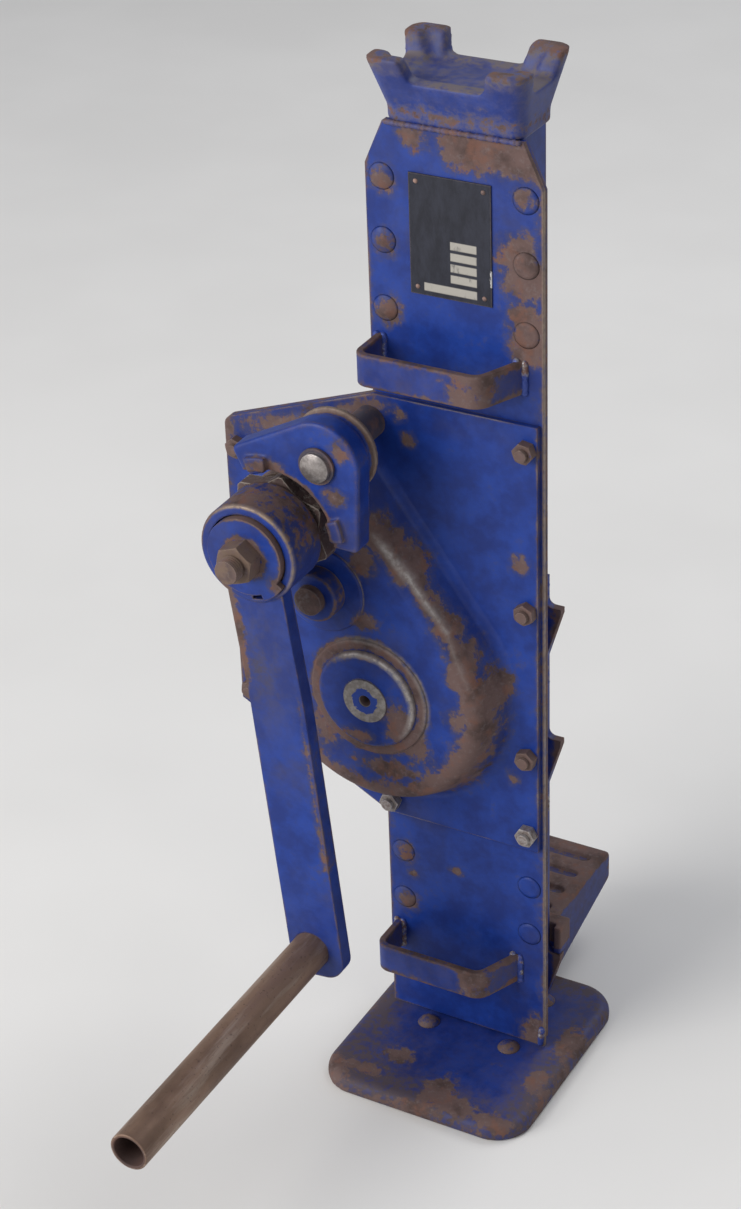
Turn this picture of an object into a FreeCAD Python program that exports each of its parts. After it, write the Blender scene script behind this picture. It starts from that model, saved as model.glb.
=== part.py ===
import FreeCAD, Part
import math
import os

# Rack and pinion jack: a toothed rack stands on a foot plate, and a steel housing with a horned head,
# a rear lifting claw, a gear case and a crank with a ratchet brake climbs the rack.
# All values are millimetres and degrees. X is to the right, Y to the rear and Z up.
# Pieces are drawn from the column's centre line (X), the column's front face (Y) and the floor (Z).
# Each piece is moved at the end so that the origin is the centre of the foot plate's underside.

V = FreeCAD.Vector

# Fits
RUN_CLEAR = 0.05          # radial clearance of a shaft in its bush
SIDE_GAP = 0.3            # gap between faces that slide or turn past each other
BACKLASH = 0.3            # play between meshing teeth
PRESSURE_ANGLE = 25.0

# Foot plate
FOOT_X = 4.0
FOOT_Y = -5.5
FOOT_WIDTH = 158.0
FOOT_DEPTH = 177.0
FOOT_HEIGHT = 12.0
FOOT_CORNER = 28.0
FOOT_ROUND = 7.0
RACK_FLANGE_WIDTH = 84.0
RACK_FLANGE_DEPTH = 78.0
RACK_FLANGE_HEIGHT = 6.0
RACK_FLANGE_X = 5.0
RACK_FLANGE_Y = 19.0
FOOT_RIVET_PITCH_X = 64.0
FOOT_RIVET_PITCH_Y = 58.0
FOOT_RIVET_RADIUS = 5.0
FOOT_RIVET_HEAD = 8.0
FOOT_RIVET_DOME = 4.5

# Lifting rack and pinion
LIFT_X = -52.0
LIFT_Z = 297.0
LIFT_MODULE = 8.0
LIFT_TEETH = 6
LIFT_ADDENDUM = 7.5
LIFT_DEDENDUM = 5.2
RACK_ADDENDUM = 4.0
RACK_DEDENDUM = 8.5
RACK_BODY = 41.5
RACK_FRONT = 10.0
RACK_THICK = 29.0
RACK_HEADROOM = 3.0       # between the rack's top and the head's tenon
RACK_PLAIN = 51.0         # from the lifting axle down to the first tooth

# Gear train, given as the line of centres from each shaft to the next
MAIN_MODULE = 4.0
MAIN_TEETH = 33
MID_PINION_TEETH = 8
MAIN_ADDENDUM = 3.0
MAIN_DEDENDUM = 4.0
MAIN_FACE = 12.0
GEAR_GAP = 1.5            # between the main gear and the front bush
MID_BEARING = 113.4
MID_MODULE = 3.0
MID_TEETH = 30
CRANK_PINION_TEETH = 10
MID_ADDENDUM = 2.4
MID_DEDENDUM = 3.2
MID_FRONT = 4.0
MID_FACE = 9.0
CRANK_BEARING = 101.5
PINION_OVERHANG = 1.0
FLANK_COUNT = 5           # points along one tooth flank

# Column
PLATE = 3.0
COLUMN_HALF = 60.3
COLUMN_ABOVE_COVER = 184.0
COLUMN_CHAMFER = 12.7
COLUMN_CHAMFER_HEIGHT = 28.6
PLATE_BOTTOM = 14.0
FLANGE_WIDTH = 18.8
CASING_ROOM = 1.0         # behind the rack
CASING_BOTTOM = 20.0
AXLE_NOTCH = 22.0

# Gear case behind the cover's left wing
CASE_INSET = 20.0
CASE_BOTTOM_INSET = 23.0
CASE_CORNER_INSET_LOW = 10.0
CASE_CORNER_INSET_TOP = 14.0

# Pressed gear cover
COVER = 4.0
COVER_BESIDE_LIFT = 120.0
COVER_BELOW_LIFT = 113.0
COVER_ABOVE_LIFT = 210.0
COVER_EDGE_INSET = 2.3
COVER_WING_RISE = 62.0
COVER_WING_DROP = 41.0
COVER_CORNER = 7.0
BULGE_HEIGHT = 34.0
BULGE_LIFT_FOOT = 92.0
BULGE_CRANK_FOOT = 49.0
BULGE_DRAFT = 13.0
BULGE_ROUND = 13.0
BULGE_ROUND_INSIDE = 9.0
BULGE_FOOT_ROUND = 8.0
BULGE_STEP = 2.0          # raised round seats under the bosses
BULGE_STEP_ROUND = 1.2

# Shafts and bushes
LIFT_JOURNAL = 16.0
LIFT_SEAT = 17.0
LIFT_REAR_JOURNAL = 13.0
LIFT_BOSS = 36.0
LIFT_STEP = 43.5
LIFT_SLEEVE = 24.0
LIFT_REAR_BUSH = 20.0
LIFT_CENTRE_HOLE = 4.5
LIFT_PROUD = 1.0
MID_JOURNAL = 10.0
MID_REAR_JOURNAL = 9.0
MID_SEAT = 11.0
MID_BOSS = 18.0
MID_BOSS_HEIGHT = 14.5
MID_STEP = 31.0
MID_SLEEVE = 14.0
MID_PROUD = 5.5
CRANK_JOURNAL = 12.0
CRANK_REAR_JOURNAL = 9.0
CRANK_BOSS = 24.0
CRANK_SLEEVE = 17.0
REAR_BUSH = 15.0
REAR_BUSH_FLANGE = 22.0
REAR_BUSH_LENGTH = 20.0
REAR_FLANGE_THICK = 3.0
BOSS_HEIGHT = 6.0
BOSS_ROUND = 2.5
BUSH_INSIDE = 2.5
KEY_WIDTH = 8.0
KEY_HEIGHT = 6.0
KEY_LENGTH_MARGIN = 1.0

# Ratchet brake and crank, from the cover outwards
BRAKE_COLLAR_GAP = 3.0    # in front of the crank shaft's front bush
BRAKE_COLLAR = 32.0
BRAKE_COLLAR_THICK = 9.0
LINING = 31.0
LINING_THICK = 3.0
RATCHET_TEETH = 7
RATCHET_TIP = 38.0
RATCHET_ROOT = 31.5
RATCHET_THICK = 12.0
RATCHET_TIP_SHARE = 0.08
RATCHET_ROOT_SHARE = 0.80
THREAD = 11.0
HUB = 34.5
HUB_LENGTH = 34.0
HUB_RECESS = 28.0
HUB_RECESS_DEPTH = 6.0
HUB_EDGE = 2.0
STOP_DISC = 27.0
STOP_TAB = 31.5
STOP_PROUD = 4.0          # of the hub's face
STOP_TAB_ANGLE = 34.0
STOP_TAB_BEARING = -48.0
RELEASE_ANGLE = 20.0
STOP_PLAY = 0.6
STUD_END = 8.0
NUT_FLATS = 24.0
NUT_HEIGHT = 13.0
NUT_BEARING = 20.0
THREAD_PROUD = 9.0
CRANK_RADIUS = 305.0
CRANK_TILT = 5.7
ARM_SETBACK = 2.0
ARM_THICK = 11.0
ARM_LEFT = 17.0
ARM_RIGHT = 24.0
ARM_ROOT_LEFT = 21.0
ARM_ROOT_RIGHT = 20.0
ARM_ROOT_LENGTH = 112.0
ARM_END = 21.0
ARM_END_ROUND = 15.0
TUBE = 13.45
TUBE_WALL = 2.6
TUBE_LENGTH = 239.0
TUBE_EDGE = 0.8

# Rocker pawl on its stud
PAWL_BEARING = 57.6
PAWL_CLEAR = 4.8          # between the pawl's lip and the brake collar
PAWL_STUD = 8.0
PAWL_STUD_COLLAR = 11.0
PAWL_STUD_WASHER = 12.5
PAWL_STUD_WASHER_THICK = 2.0
PAWL_STUD_HEAD = 10.0
PAWL_STUD_HEAD_THICK = 2.5
PAWL_STUD_DOME = 2.0
PAWL_FRONT_PROUD = 5.0
PAWL_THICK = 16.0
PAWL_BOSS = 29.0
PAWL_REAR_BOSS = 26.0
PAWL_REAR_BOSS_LENGTH = 10.0
PAWL_LIP = 29.5
PAWL_LIP_THICK = 4.0
PAWL_EDGE = 2.0
PAWL_PAD_HEIGHT = 4.0
PAWL_PAD_WIDTH = 9.5
PAWL_PAD_ANGLE = 25.0
PAWL_RING_INNER = 44.2
PAWL_ARM_OUTER = 62.0
PAWL_PITCHES = 1
PAWL_ARM_MARGIN = 8.0
PAWL_TIP_ROUND = 4.0
PAWL_NOSE_GAP = 0.6
PAWL_NOSE_HALF = 5.6
PAWL_NOSE_SPREAD = 2.0

# Head crown
HEAD_HEIGHT = 44.0
HEAD_NECK_INSET = 0.6
HEAD_NECK_PROUD = 2.0
HEAD_NECK_HEIGHT = 9.0
HEAD_FLARE_X = 7.0
HEAD_FLARE_Y = 14.0
HEAD_WALL = 11.0
HEAD_WALL_FOOT = 18.7
HEAD_DISH = 17.0
HEAD_VALLEY = 15.0
HEAD_VALLEY_FLARE = 3.75
HEAD_HORN_X = 29.0
HEAD_HORN_Y = 22.0
HEAD_ROUND = 9.0
HEAD_TENON = 6.0

# Carrying handles of bent flat bar
STRAP_HEIGHT = 22.0
STRAP_THICK = 5.0
STRAP_STANDOFF = 34.0
STRAP_LEFT_INSET = 4.3
UPPER_STRAP_RIGHT_INSET = 12.5
LOWER_STRAP_RIGHT_INSET = 18.5
STRAP_SPLAY = 15.0        # slant of the right leg, from its bend to the plate
STRAP_LEFT_BEND = 10.0
STRAP_RIGHT_BEND = 13.0
STRAP_EDGE = 1.0
UPPER_STRAP_DROP = 164.0
LOWER_STRAP_Z = 67.0

# Rack guides inside the column
GUIDE_HEIGHT = 50.0
LOWER_GUIDE_RISE = 4.0
UPPER_GUIDE_RISE = 110.0
BACKING_HEIGHT = 70.0

# Ears on the rear of the column
EAR_PLATE = 6.0
EAR_INSET = 0.5
EAR_REACH = 11.0
EAR_RISE = 40.0
EAR_LIP = 4.0
EAR_FILLET = 5.0
EAR_SHELVES = (62.0, 245.0, 349.0)
EAR_PLATE_BELOW = 42.0
EAR_PLATE_ABOVE = 22.0
EAR_AXLE_GAP = 1.0

# Lifting claw
CLAW_INSET = 6.0
CLAW_BACK = 11.0
CLAW_BOTTOM = 20.0
CLAW_SEAT = 70.0
CLAW_REACH = 117.0
CLAW_TOE_THICK = 25.0
CLAW_HEEL = 15.0
CLAW_LUG_HEIGHT = 22.0
CLAW_EDGE = 5.0
CLAW_FILLET = 8.0
CLAW_SIDE_EDGE = 2.5
CLAW_GROOVE_COUNT = 4
CLAW_GROOVE_WIDTH = 8.0
CLAW_GROOVE_DEPTH = 3.5
CLAW_GROOVE_MARGIN_SIDE = 9.0
CLAW_GROOVE_MARGIN_TOE = 17.0
CLAW_GROOVE_MARGIN_BACK = 22.0

# Fasteners and plates
BOLT = 4.0
BOLT_NUT_FLATS = 13.0
BOLT_NUT_HEIGHT = 6.5
BOLT_HEAD_HEIGHT = 5.3
BOLT_PROUD = 3.0
BOLT_HEAD_BEARING = 30.0  # flats stand beside the casing
BOLT_NUT_TURN = 17.0      # from one nut to the next
BOLT_NUT_CHAMFER = 1.02   # of the flats, where a nut's chamfer starts
BOLT_NUT_CHAMFER_SLOPE = 1.7
BOLT_EDGE_INSET = 10.0
BOLT_BOTTOM_INSET = 14.0
BOLT_TOP_INSET = 17.0
BOLT_BELOW_LIFT = 37.0
BOLT_ABOVE_LIFT = 76.0
BOLT_CORNER_INSET = (4.0, 11.0)
BOLT_WING_INSET = (10.0, 11.0, 19.0)
SPOT_FACE = 0.5
RIVET = 4.0
RIVET_HEAD = 9.0
RIVET_DOME = 2.4
RIVET_FLAT = 0.9          # heads on the right, hammered nearly flat
RIVET_FLAT_TOP = 6.5
RIVET_REAR_HEAD = 6.5
RIVET_EDGE_INSET = 11.3
RIVET_DROPS = (124.0, 78.0, 36.0)
RIVET_SHARES = (0.22, 0.64)
LABEL_LEFT = -30.0
LABEL_WIDTH = 56.0
LABEL_HEIGHT = 79.5
LABEL_DROP = 30.0
LABEL_THICK = 1.0
LABEL_RIVET = 1.6
LABEL_RIVET_DOME = 0.9
LABEL_RIVET_INSET = 5.0

# Worked out from the values above
LIFT_PITCH_RADIUS = LIFT_MODULE * LIFT_TEETH / 2
MAIN_CENTRES = MAIN_MODULE * (MAIN_TEETH + MID_PINION_TEETH) / 2
MID_CENTRES = MID_MODULE * (MID_TEETH + CRANK_PINION_TEETH) / 2
MID_X = LIFT_X + MAIN_CENTRES * math.cos(math.radians(MID_BEARING))
MID_Z = LIFT_Z + MAIN_CENTRES * math.sin(math.radians(MID_BEARING))
CRANK_X = MID_X + MID_CENTRES * math.cos(math.radians(CRANK_BEARING))
CRANK_Z = MID_Z + MID_CENTRES * math.sin(math.radians(CRANK_BEARING))
RACK_PITCH_X = LIFT_X + LIFT_PITCH_RADIUS
RACK_TIP_X = RACK_PITCH_X - RACK_ADDENDUM
RACK_BACK_X = RACK_PITCH_X + RACK_DEDENDUM + RACK_BODY
RACK_REAR = RACK_FRONT + RACK_THICK
FLANGE_REAR = PLATE * 2
CASING_HALF = COLUMN_HALF - FLANGE_WIDTH
CASING_INSIDE = CASING_HALF - PLATE
CASING_REAR = RACK_REAR + CASING_ROOM + PLATE
COVER_LEFT = LIFT_X - COVER_BESIDE_LIFT
COVER_RIGHT = COLUMN_HALF - COVER_EDGE_INSET
COVER_WING_X = -COVER_RIGHT
COVER_BOTTOM = LIFT_Z - COVER_BELOW_LIFT
COVER_TOP = LIFT_Z + COVER_ABOVE_LIFT
COVER_LEFT_BOTTOM = COVER_BOTTOM + COVER_WING_RISE
COVER_LEFT_TOP = COVER_TOP - COVER_WING_DROP
CASE_LEFT = COVER_LEFT + CASE_INSET
CASE_TOP = COVER_TOP - CASE_INSET
CASE_BOTTOM = COVER_BOTTOM + CASE_BOTTOM_INSET
CASE_LEFT_BOTTOM = COVER_LEFT_BOTTOM + CASE_CORNER_INSET_LOW
CASE_LEFT_TOP = COVER_LEFT_TOP - CASE_CORNER_INSET_TOP
COLUMN_TOP = COVER_TOP + COLUMN_ABOVE_COVER
COLUMN_SHOULDER = COLUMN_TOP - COLUMN_CHAMFER_HEIGHT
COLUMN_TOP_HALF = COLUMN_HALF - COLUMN_CHAMFER
RACK_TOP = COLUMN_TOP - HEAD_TENON - RACK_HEADROOM
HEAD_TOP = COLUMN_TOP + HEAD_HEIGHT
HEAD_NECK_HALF = COLUMN_TOP_HALF - HEAD_NECK_INSET
HEAD_NECK_REAR = CASING_REAR + HEAD_NECK_PROUD
HEAD_HALF = HEAD_NECK_HALF + HEAD_FLARE_X
HEAD_FRONT = -HEAD_FLARE_Y
HEAD_REAR = HEAD_NECK_REAR + HEAD_FLARE_Y
STRAP_LEFT = STRAP_LEFT_INSET - COLUMN_HALF
UPPER_STRAP_Z = COLUMN_TOP - UPPER_STRAP_DROP
LABEL_RIGHT = LABEL_LEFT + LABEL_WIDTH
LABEL_TOP = COLUMN_TOP - LABEL_DROP
LABEL_BOTTOM = LABEL_TOP - LABEL_HEIGHT
EAR_HALF = CASING_HALF - EAR_INSET
EAR_LOWEST = EAR_SHELVES[0]
EAR_TOP = EAR_SHELVES[-1]
CLAW_HALF = EAR_HALF - CLAW_INSET
BULGE_FACE = -BULGE_HEIGHT
STEP_FACE = BULGE_FACE - BULGE_STEP
BOSS_FACE = BULGE_FACE - BOSS_HEIGHT
MAIN_FRONT = BULGE_FACE + COVER + BUSH_INSIDE + GEAR_GAP
MID_BOSS_FACE = BULGE_FACE - MID_BOSS_HEIGHT
MID_END = MID_BOSS_FACE - MID_PROUD
BRAKE_COLLAR_REAR = BOSS_FACE - BRAKE_COLLAR_GAP
PAWL_CENTRES = BRAKE_COLLAR + PAWL_CLEAR + PAWL_LIP
PAWL_X = CRANK_X + PAWL_CENTRES * math.cos(math.radians(PAWL_BEARING))
PAWL_Z = CRANK_Z + PAWL_CENTRES * math.sin(math.radians(PAWL_BEARING))
LINING_REAR = BRAKE_COLLAR_REAR - BRAKE_COLLAR_THICK
RATCHET_REAR = LINING_REAR - LINING_THICK
RATCHET_FRONT = RATCHET_REAR - RATCHET_THICK
LINING_FRONT = RATCHET_FRONT - LINING_THICK
HUB_REAR = LINING_FRONT - SIDE_GAP
HUB_FRONT = HUB_REAR - HUB_LENGTH
ARM_FRONT = HUB_FRONT + ARM_SETBACK
STOP_FRONT = HUB_FRONT - STOP_PROUD
RECESS_FLOOR = HUB_FRONT + HUB_RECESS_DEPTH
STOP_REAR = RECESS_FLOOR - SIDE_GAP
PAWL_FRONT = RATCHET_FRONT - PAWL_FRONT_PROUD
PAWL_REAR = PAWL_FRONT + PAWL_THICK
EAR_REAR = CASING_REAR + EAR_PLATE
CLAW_FRONT = EAR_REAR + SIDE_GAP
CLAW_REAR = CLAW_FRONT + CLAW_BACK
CLAW_TOE = EAR_REAR + CLAW_REACH


# Drawing helpers

PLANES = {
    "xz": (lambda a, b: V(a, 0, b), V(0, 1, 0)),
    "yz": (lambda a, b: V(0, a, b), V(1, 0, 0)),
    "xy": (lambda a, b: V(a, b, 0), V(0, 0, 1)),
}


def outline(corners, plane):
    """Closed wire through (a, b) or (a, b, radius) corners, rounded where a radius is given."""
    to_space = PLANES[plane][0]
    points = [to_space(corner[0], corner[1]) for corner in corners]
    count = len(points)
    edges = []
    starts = []
    ends = []
    arcs = []
    for index, corner in enumerate(corners):
        point = points[index]
        to_last = (points[index - 1] - point).normalize()
        to_next = (points[(index + 1) % count] - point).normalize()
        radius = corner[2] if len(corner) > 2 else 0.0
        if radius <= 0.0:
            starts.append(point)
            ends.append(point)
            arcs.append(None)
            continue
        half = to_last.getAngle(to_next) / 2
        reach = radius / math.tan(half)
        middle = (to_last + to_next).normalize()
        centre = point + middle * (radius / math.sin(half))
        first = point + to_last * reach
        last = point + to_next * reach
        starts.append(first)
        ends.append(last)
        arcs.append(Part.Arc(first, centre - middle * radius, last).toShape())
    for index in range(count):
        if arcs[index]:
            edges.append(arcs[index])
        begin = ends[index]
        finish = starts[(index + 1) % count]
        if begin.distanceToPoint(finish) > 1e-6:
            edges.append(Part.makeLine(begin, finish))
    return Part.Wire(edges)


def extruded(corners, plane, start, end):
    normal = PLANES[plane][1]
    face = Part.Face(outline(corners, plane))
    face.translate(normal * start)
    return face.extrude(normal * (end - start))


def box(x0, x1, y0, y1, z0, z1):
    return Part.makeBox(x1 - x0, y1 - y0, z1 - z0, V(x0, y0, z0))


def rod(x, z, radius, front, rear):
    return Part.makeCylinder(radius, rear - front, V(x, front, z), V(0, 1, 0))


def turned(x, z, steps):
    """Stepped shaft: (front, rear, radius) lengths along Y."""
    shape = None
    for front, rear, radius in steps:
        piece = rod(x, z, radius, front, rear)
        shape = piece if shape is None else shape.fuse(piece)
    return shape.removeSplitter()


def ring(x, z, inner, outer, front, rear):
    return rod(x, z, outer, front, rear).cut(rod(x, z, inner, front, rear))


def hexagon(x, z, flats, front, rear, bearing=0.0):
    radius = flats / math.sqrt(3)
    corners = []
    for step in range(6):
        angle = math.radians(bearing + 60 * step)
        corners.append((x + radius * math.cos(angle), z + radius * math.sin(angle)))
    prism = extruded(corners, "xz", front, rear)
    small = flats / 2 * BOLT_NUT_CHAMFER
    height = rear - front
    crown = Part.makeCone(small, small + height * BOLT_NUT_CHAMFER_SLOPE, height, V(x, front, z), V(0, 1, 0))
    return prism.common(crown)


def dome(x, y, z, radius, height, direction):
    """Rivet head standing on a plane at (x, y, z)."""
    sphere_radius = (radius * radius + height * height) / (2 * height)
    centre = V(x, y, z) - direction * (sphere_radius - height)
    ball = Part.makeSphere(sphere_radius, centre)
    keep = Part.makeCylinder(sphere_radius, sphere_radius, V(x, y, z), direction)
    return ball.common(keep)


def edges_on_plane(shape, axis, value):
    """Edges of a shape that lie in the plane where the axis has the value."""
    found = []
    for edge in shape.Edges:
        bounds = edge.BoundBox
        low = getattr(bounds, axis + "Min")
        high = getattr(bounds, axis + "Max")
        if abs(low - value) < 1e-3 and abs(high - value) < 1e-3:
            found.append(edge)
    return found


def single(shape):
    clean = shape.removeSplitter()
    return clean.Solids[0] if len(clean.Solids) == 1 else clean


# Gears

def involute(angle):
    return math.tan(angle) - angle


def gear(x, z, module, teeth, addendum, dedendum, phase, front, rear):
    """Solid spur gear with involute flanks and one tooth centred on the phase angle."""
    pitch = module * teeth / 2
    slope = math.radians(PRESSURE_ANGLE)
    base = pitch * math.cos(slope)
    root = pitch - dedendum
    tip = pitch + addendum
    start = max(base, root)
    half_pitch = math.pi / (2 * teeth) - BACKLASH / (4 * pitch)

    def half_angle(radius):
        return half_pitch + involute(slope) - involute(math.acos(min(1.0, base / radius)))

    def polar(radius, angle):
        return V(x + radius * math.cos(angle), front, z + radius * math.sin(angle))

    def flank(centre, side):
        points = []
        for step in range(FLANK_COUNT):
            radius = start + (tip - start) * step / (FLANK_COUNT - 1)
            points.append(polar(radius, centre + side * half_angle(radius)))
        if side > 0:
            points.reverse()
        curve = Part.BSplineCurve()
        curve.interpolate(points)
        return curve.toShape()

    edges = []
    for tooth in range(teeth):
        centre = math.radians(phase) + 2 * math.pi * tooth / teeth
        low = half_angle(start)
        high = half_angle(tip)
        following = centre + 2 * math.pi / teeth
        if root < start:
            edges.append(Part.makeLine(polar(root, centre - low), polar(start, centre - low)))
        edges.append(flank(centre, -1))
        edges.append(Part.Arc(polar(tip, centre - high), polar(tip, centre),
                              polar(tip, centre + high)).toShape())
        edges.append(flank(centre, 1))
        if root < start:
            edges.append(Part.makeLine(polar(start, centre + low), polar(root, centre + low)))
        edges.append(Part.Arc(polar(root, centre + low), polar(root, (centre + following) / 2),
                              polar(root, following - low)).toShape())
    return Part.Face(Part.Wire(edges)).extrude(V(0, rear - front, 0))


def key_box(x, z, seat, front, rear):
    """Key standing half in the shaft and half in the wheel, on the shaft's upper side."""
    half = KEY_WIDTH / 2
    return box(x - half, x + half, front, rear, z + seat - KEY_HEIGHT / 2, z + seat + KEY_HEIGHT / 2)


# Stand

def foot_bounds():
    half_width = FOOT_WIDTH / 2
    half_depth = FOOT_DEPTH / 2
    return FOOT_X - half_width, FOOT_X + half_width, FOOT_Y - half_depth, FOOT_Y + half_depth


def rack_flange():
    half_width = RACK_FLANGE_WIDTH / 2
    half_depth = RACK_FLANGE_DEPTH / 2
    return box(RACK_FLANGE_X - half_width, RACK_FLANGE_X + half_width, RACK_FLANGE_Y - half_depth,
               RACK_FLANGE_Y + half_depth, 0, RACK_FLANGE_HEIGHT)


def foot_rivet_places():
    places = []
    for side in (-1, 1):
        for end in (-1, 1):
            places.append((RACK_FLANGE_X + side * FOOT_RIVET_PITCH_X / 2,
                           RACK_FLANGE_Y + end * FOOT_RIVET_PITCH_Y / 2))
    return places


def foot_rivet_hole(x, y):
    return Part.makeCylinder(FOOT_RIVET_RADIUS, FOOT_HEIGHT, V(x, y, 0))


def foot_plate():
    left, right, front, rear = foot_bounds()
    corners = []
    for x, y in ((left, front), (right, front), (right, rear), (left, rear)):
        corners.append((x, y, FOOT_CORNER))
    plate = extruded(corners, "xy", 0, FOOT_HEIGHT)
    plate = plate.makeFillet(FOOT_ROUND, edges_on_plane(plate, "Z", FOOT_HEIGHT))
    shank = box(RACK_TIP_X, RACK_BACK_X, RACK_FRONT, RACK_REAR, 0, FOOT_HEIGHT)
    plate = plate.cut(rack_flange()).cut(shank)
    for x, y in foot_rivet_places():
        plate = plate.cut(foot_rivet_hole(x, y))
    return single(plate)


def foot_rivets():
    rivets = []
    for x, y in foot_rivet_places():
        head = dome(x, y, FOOT_HEIGHT, FOOT_RIVET_HEAD, FOOT_RIVET_DOME, V(0, 0, 1))
        rivets.append(single(foot_rivet_hole(x, y).fuse(head)))
    return Part.makeCompound(rivets)


def rack_bar():
    """Rack with its teeth facing left; a gap is level with the lifting pinion at rest."""
    slope = math.tan(math.radians(PRESSURE_ANGLE))
    pitch = math.pi * LIFT_MODULE
    half_tooth = pitch / 4 - BACKLASH / 4
    tip_half = half_tooth - RACK_ADDENDUM * slope
    root_half = half_tooth + RACK_DEDENDUM * slope
    root_x = RACK_PITCH_X + RACK_DEDENDUM
    bar = box(RACK_TIP_X, RACK_BACK_X, RACK_FRONT, RACK_REAR, 0, RACK_TOP)
    first = math.ceil(-RACK_PLAIN / pitch)
    last = math.ceil((RACK_TOP - LIFT_Z) / pitch)
    gaps = []
    for index in range(first, last + 1):
        centre = LIFT_Z + index * pitch
        bottom = pitch / 2 - root_half
        top = pitch / 2 - tip_half
        corners = [(root_x, centre - bottom), (RACK_TIP_X, centre - top),
                   (RACK_TIP_X, centre + top), (root_x, centre + bottom)]
        gaps.append(extruded(corners, "xz", RACK_FRONT, RACK_REAR))
    bar = bar.cut(Part.makeCompound(gaps)).fuse(rack_flange())
    for x, y in foot_rivet_places():
        bar = bar.cut(foot_rivet_hole(x, y))
    return single(bar)


# Column

def column_outline(front, rear):
    corners = [(-COLUMN_HALF, PLATE_BOTTOM), (COLUMN_HALF, PLATE_BOTTOM), (COLUMN_HALF, COLUMN_SHOULDER),
               (COLUMN_TOP_HALF, COLUMN_TOP), (-COLUMN_TOP_HALF, COLUMN_TOP), (-COLUMN_HALF, COLUMN_SHOULDER)]
    return extruded(corners, "xz", front, rear)


def column_bolts():
    right = COLUMN_HALF - BOLT_EDGE_INSET
    heights = (COVER_BOTTOM + BOLT_BOTTOM_INSET, LIFT_Z - BOLT_BELOW_LIFT, LIFT_Z + BOLT_ABOVE_LIFT,
               COVER_TOP - BOLT_TOP_INSET)
    places = [(right, z) for z in heights]
    places.append((COVER_WING_X + BOLT_CORNER_INSET[0], COVER_BOTTOM + BOLT_CORNER_INSET[1]))
    return places


def wing_bolts():
    x = COVER_LEFT + BOLT_WING_INSET[0]
    return [(x, COVER_LEFT_BOTTOM + BOLT_WING_INSET[1]), (x, COVER_LEFT_TOP - BOLT_WING_INSET[2])]


def rivet_places():
    strap_top = LOWER_STRAP_Z + STRAP_HEIGHT
    heights = [strap_top + (COVER_BOTTOM - strap_top) * share for share in RIVET_SHARES]
    heights += [COLUMN_TOP - drop for drop in RIVET_DROPS]
    side = COLUMN_HALF - RIVET_EDGE_INSET
    places = []
    for z in heights:
        places.append((-side, z))
        places.append((side, z))
    return places


def flange_holes(shape):
    """Bolt and rivet holes through the front plate or the casing's flanges behind it."""
    for x, z in column_bolts():
        shape = shape.cut(rod(x, z, BOLT, 0, FLANGE_REAR))
    for x, z in rivet_places():
        shape = shape.cut(rod(x, z, RIVET, 0, FLANGE_REAR))
    return shape


def front_plate():
    plate = column_outline(0, PLATE)
    plate = plate.cut(rod(LIFT_X, LIFT_Z, AXLE_NOTCH, 0, PLATE))
    return single(flange_holes(plate))


def rear_casing():
    """Hat section: a box behind the front plate with a flange on each side."""
    inner = CASING_INSIDE
    flange = box(-COLUMN_HALF, COLUMN_HALF, PLATE, FLANGE_REAR, CASING_BOTTOM, COLUMN_TOP)
    shell = box(-CASING_HALF, CASING_HALF, PLATE, CASING_REAR, CASING_BOTTOM, COLUMN_TOP)
    hollow = box(-inner, inner, 0, CASING_REAR - PLATE, 0, COLUMN_TOP + PLATE)
    casing = flange.fuse(shell).cut(hollow).common(column_outline(PLATE, CASING_REAR))
    window = box(-COLUMN_HALF, -inner, 0, CASING_REAR - PLATE, CASE_BOTTOM, CASE_TOP)
    casing = casing.cut(window).cut(rod(LIFT_X, LIFT_Z, LIFT_REAR_BUSH, 0, EAR_REAR))
    return single(flange_holes(casing))


def ear_side(side):
    """Corners up one side of the ear plate: under each ear, its lip, its shelf and the fillet above."""
    corners = [(side * EAR_HALF, EAR_LOWEST - EAR_PLATE_BELOW)]
    for shelf in EAR_SHELVES:
        corners.append((side * EAR_HALF, shelf - EAR_RISE))
        corners.append((side * (EAR_HALF + EAR_REACH), shelf - EAR_LIP))
        corners.append((side * (EAR_HALF + EAR_REACH), shelf))
        corners.append((side * EAR_HALF, shelf, EAR_FILLET))
    corners.append((side * EAR_HALF, EAR_TOP + EAR_PLATE_ABOVE))
    return corners


def ear_plate():
    corners = ear_side(1) + ear_side(-1)[::-1]
    plate = extruded(corners, "xz", CASING_REAR, EAR_REAR)
    notch = rod(LIFT_X, LIFT_Z, LIFT_REAR_BUSH + EAR_AXLE_GAP, CASING_REAR, EAR_REAR)
    return single(plate.cut(notch))


def cover_corners():
    return [(COVER_LEFT, COVER_LEFT_BOTTOM), (COVER_WING_X, COVER_BOTTOM), (COVER_RIGHT, COVER_BOTTOM),
            (COVER_RIGHT, COVER_TOP), (COVER_WING_X, COVER_TOP), (COVER_LEFT, COVER_LEFT_TOP, COVER_CORNER)]


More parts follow.
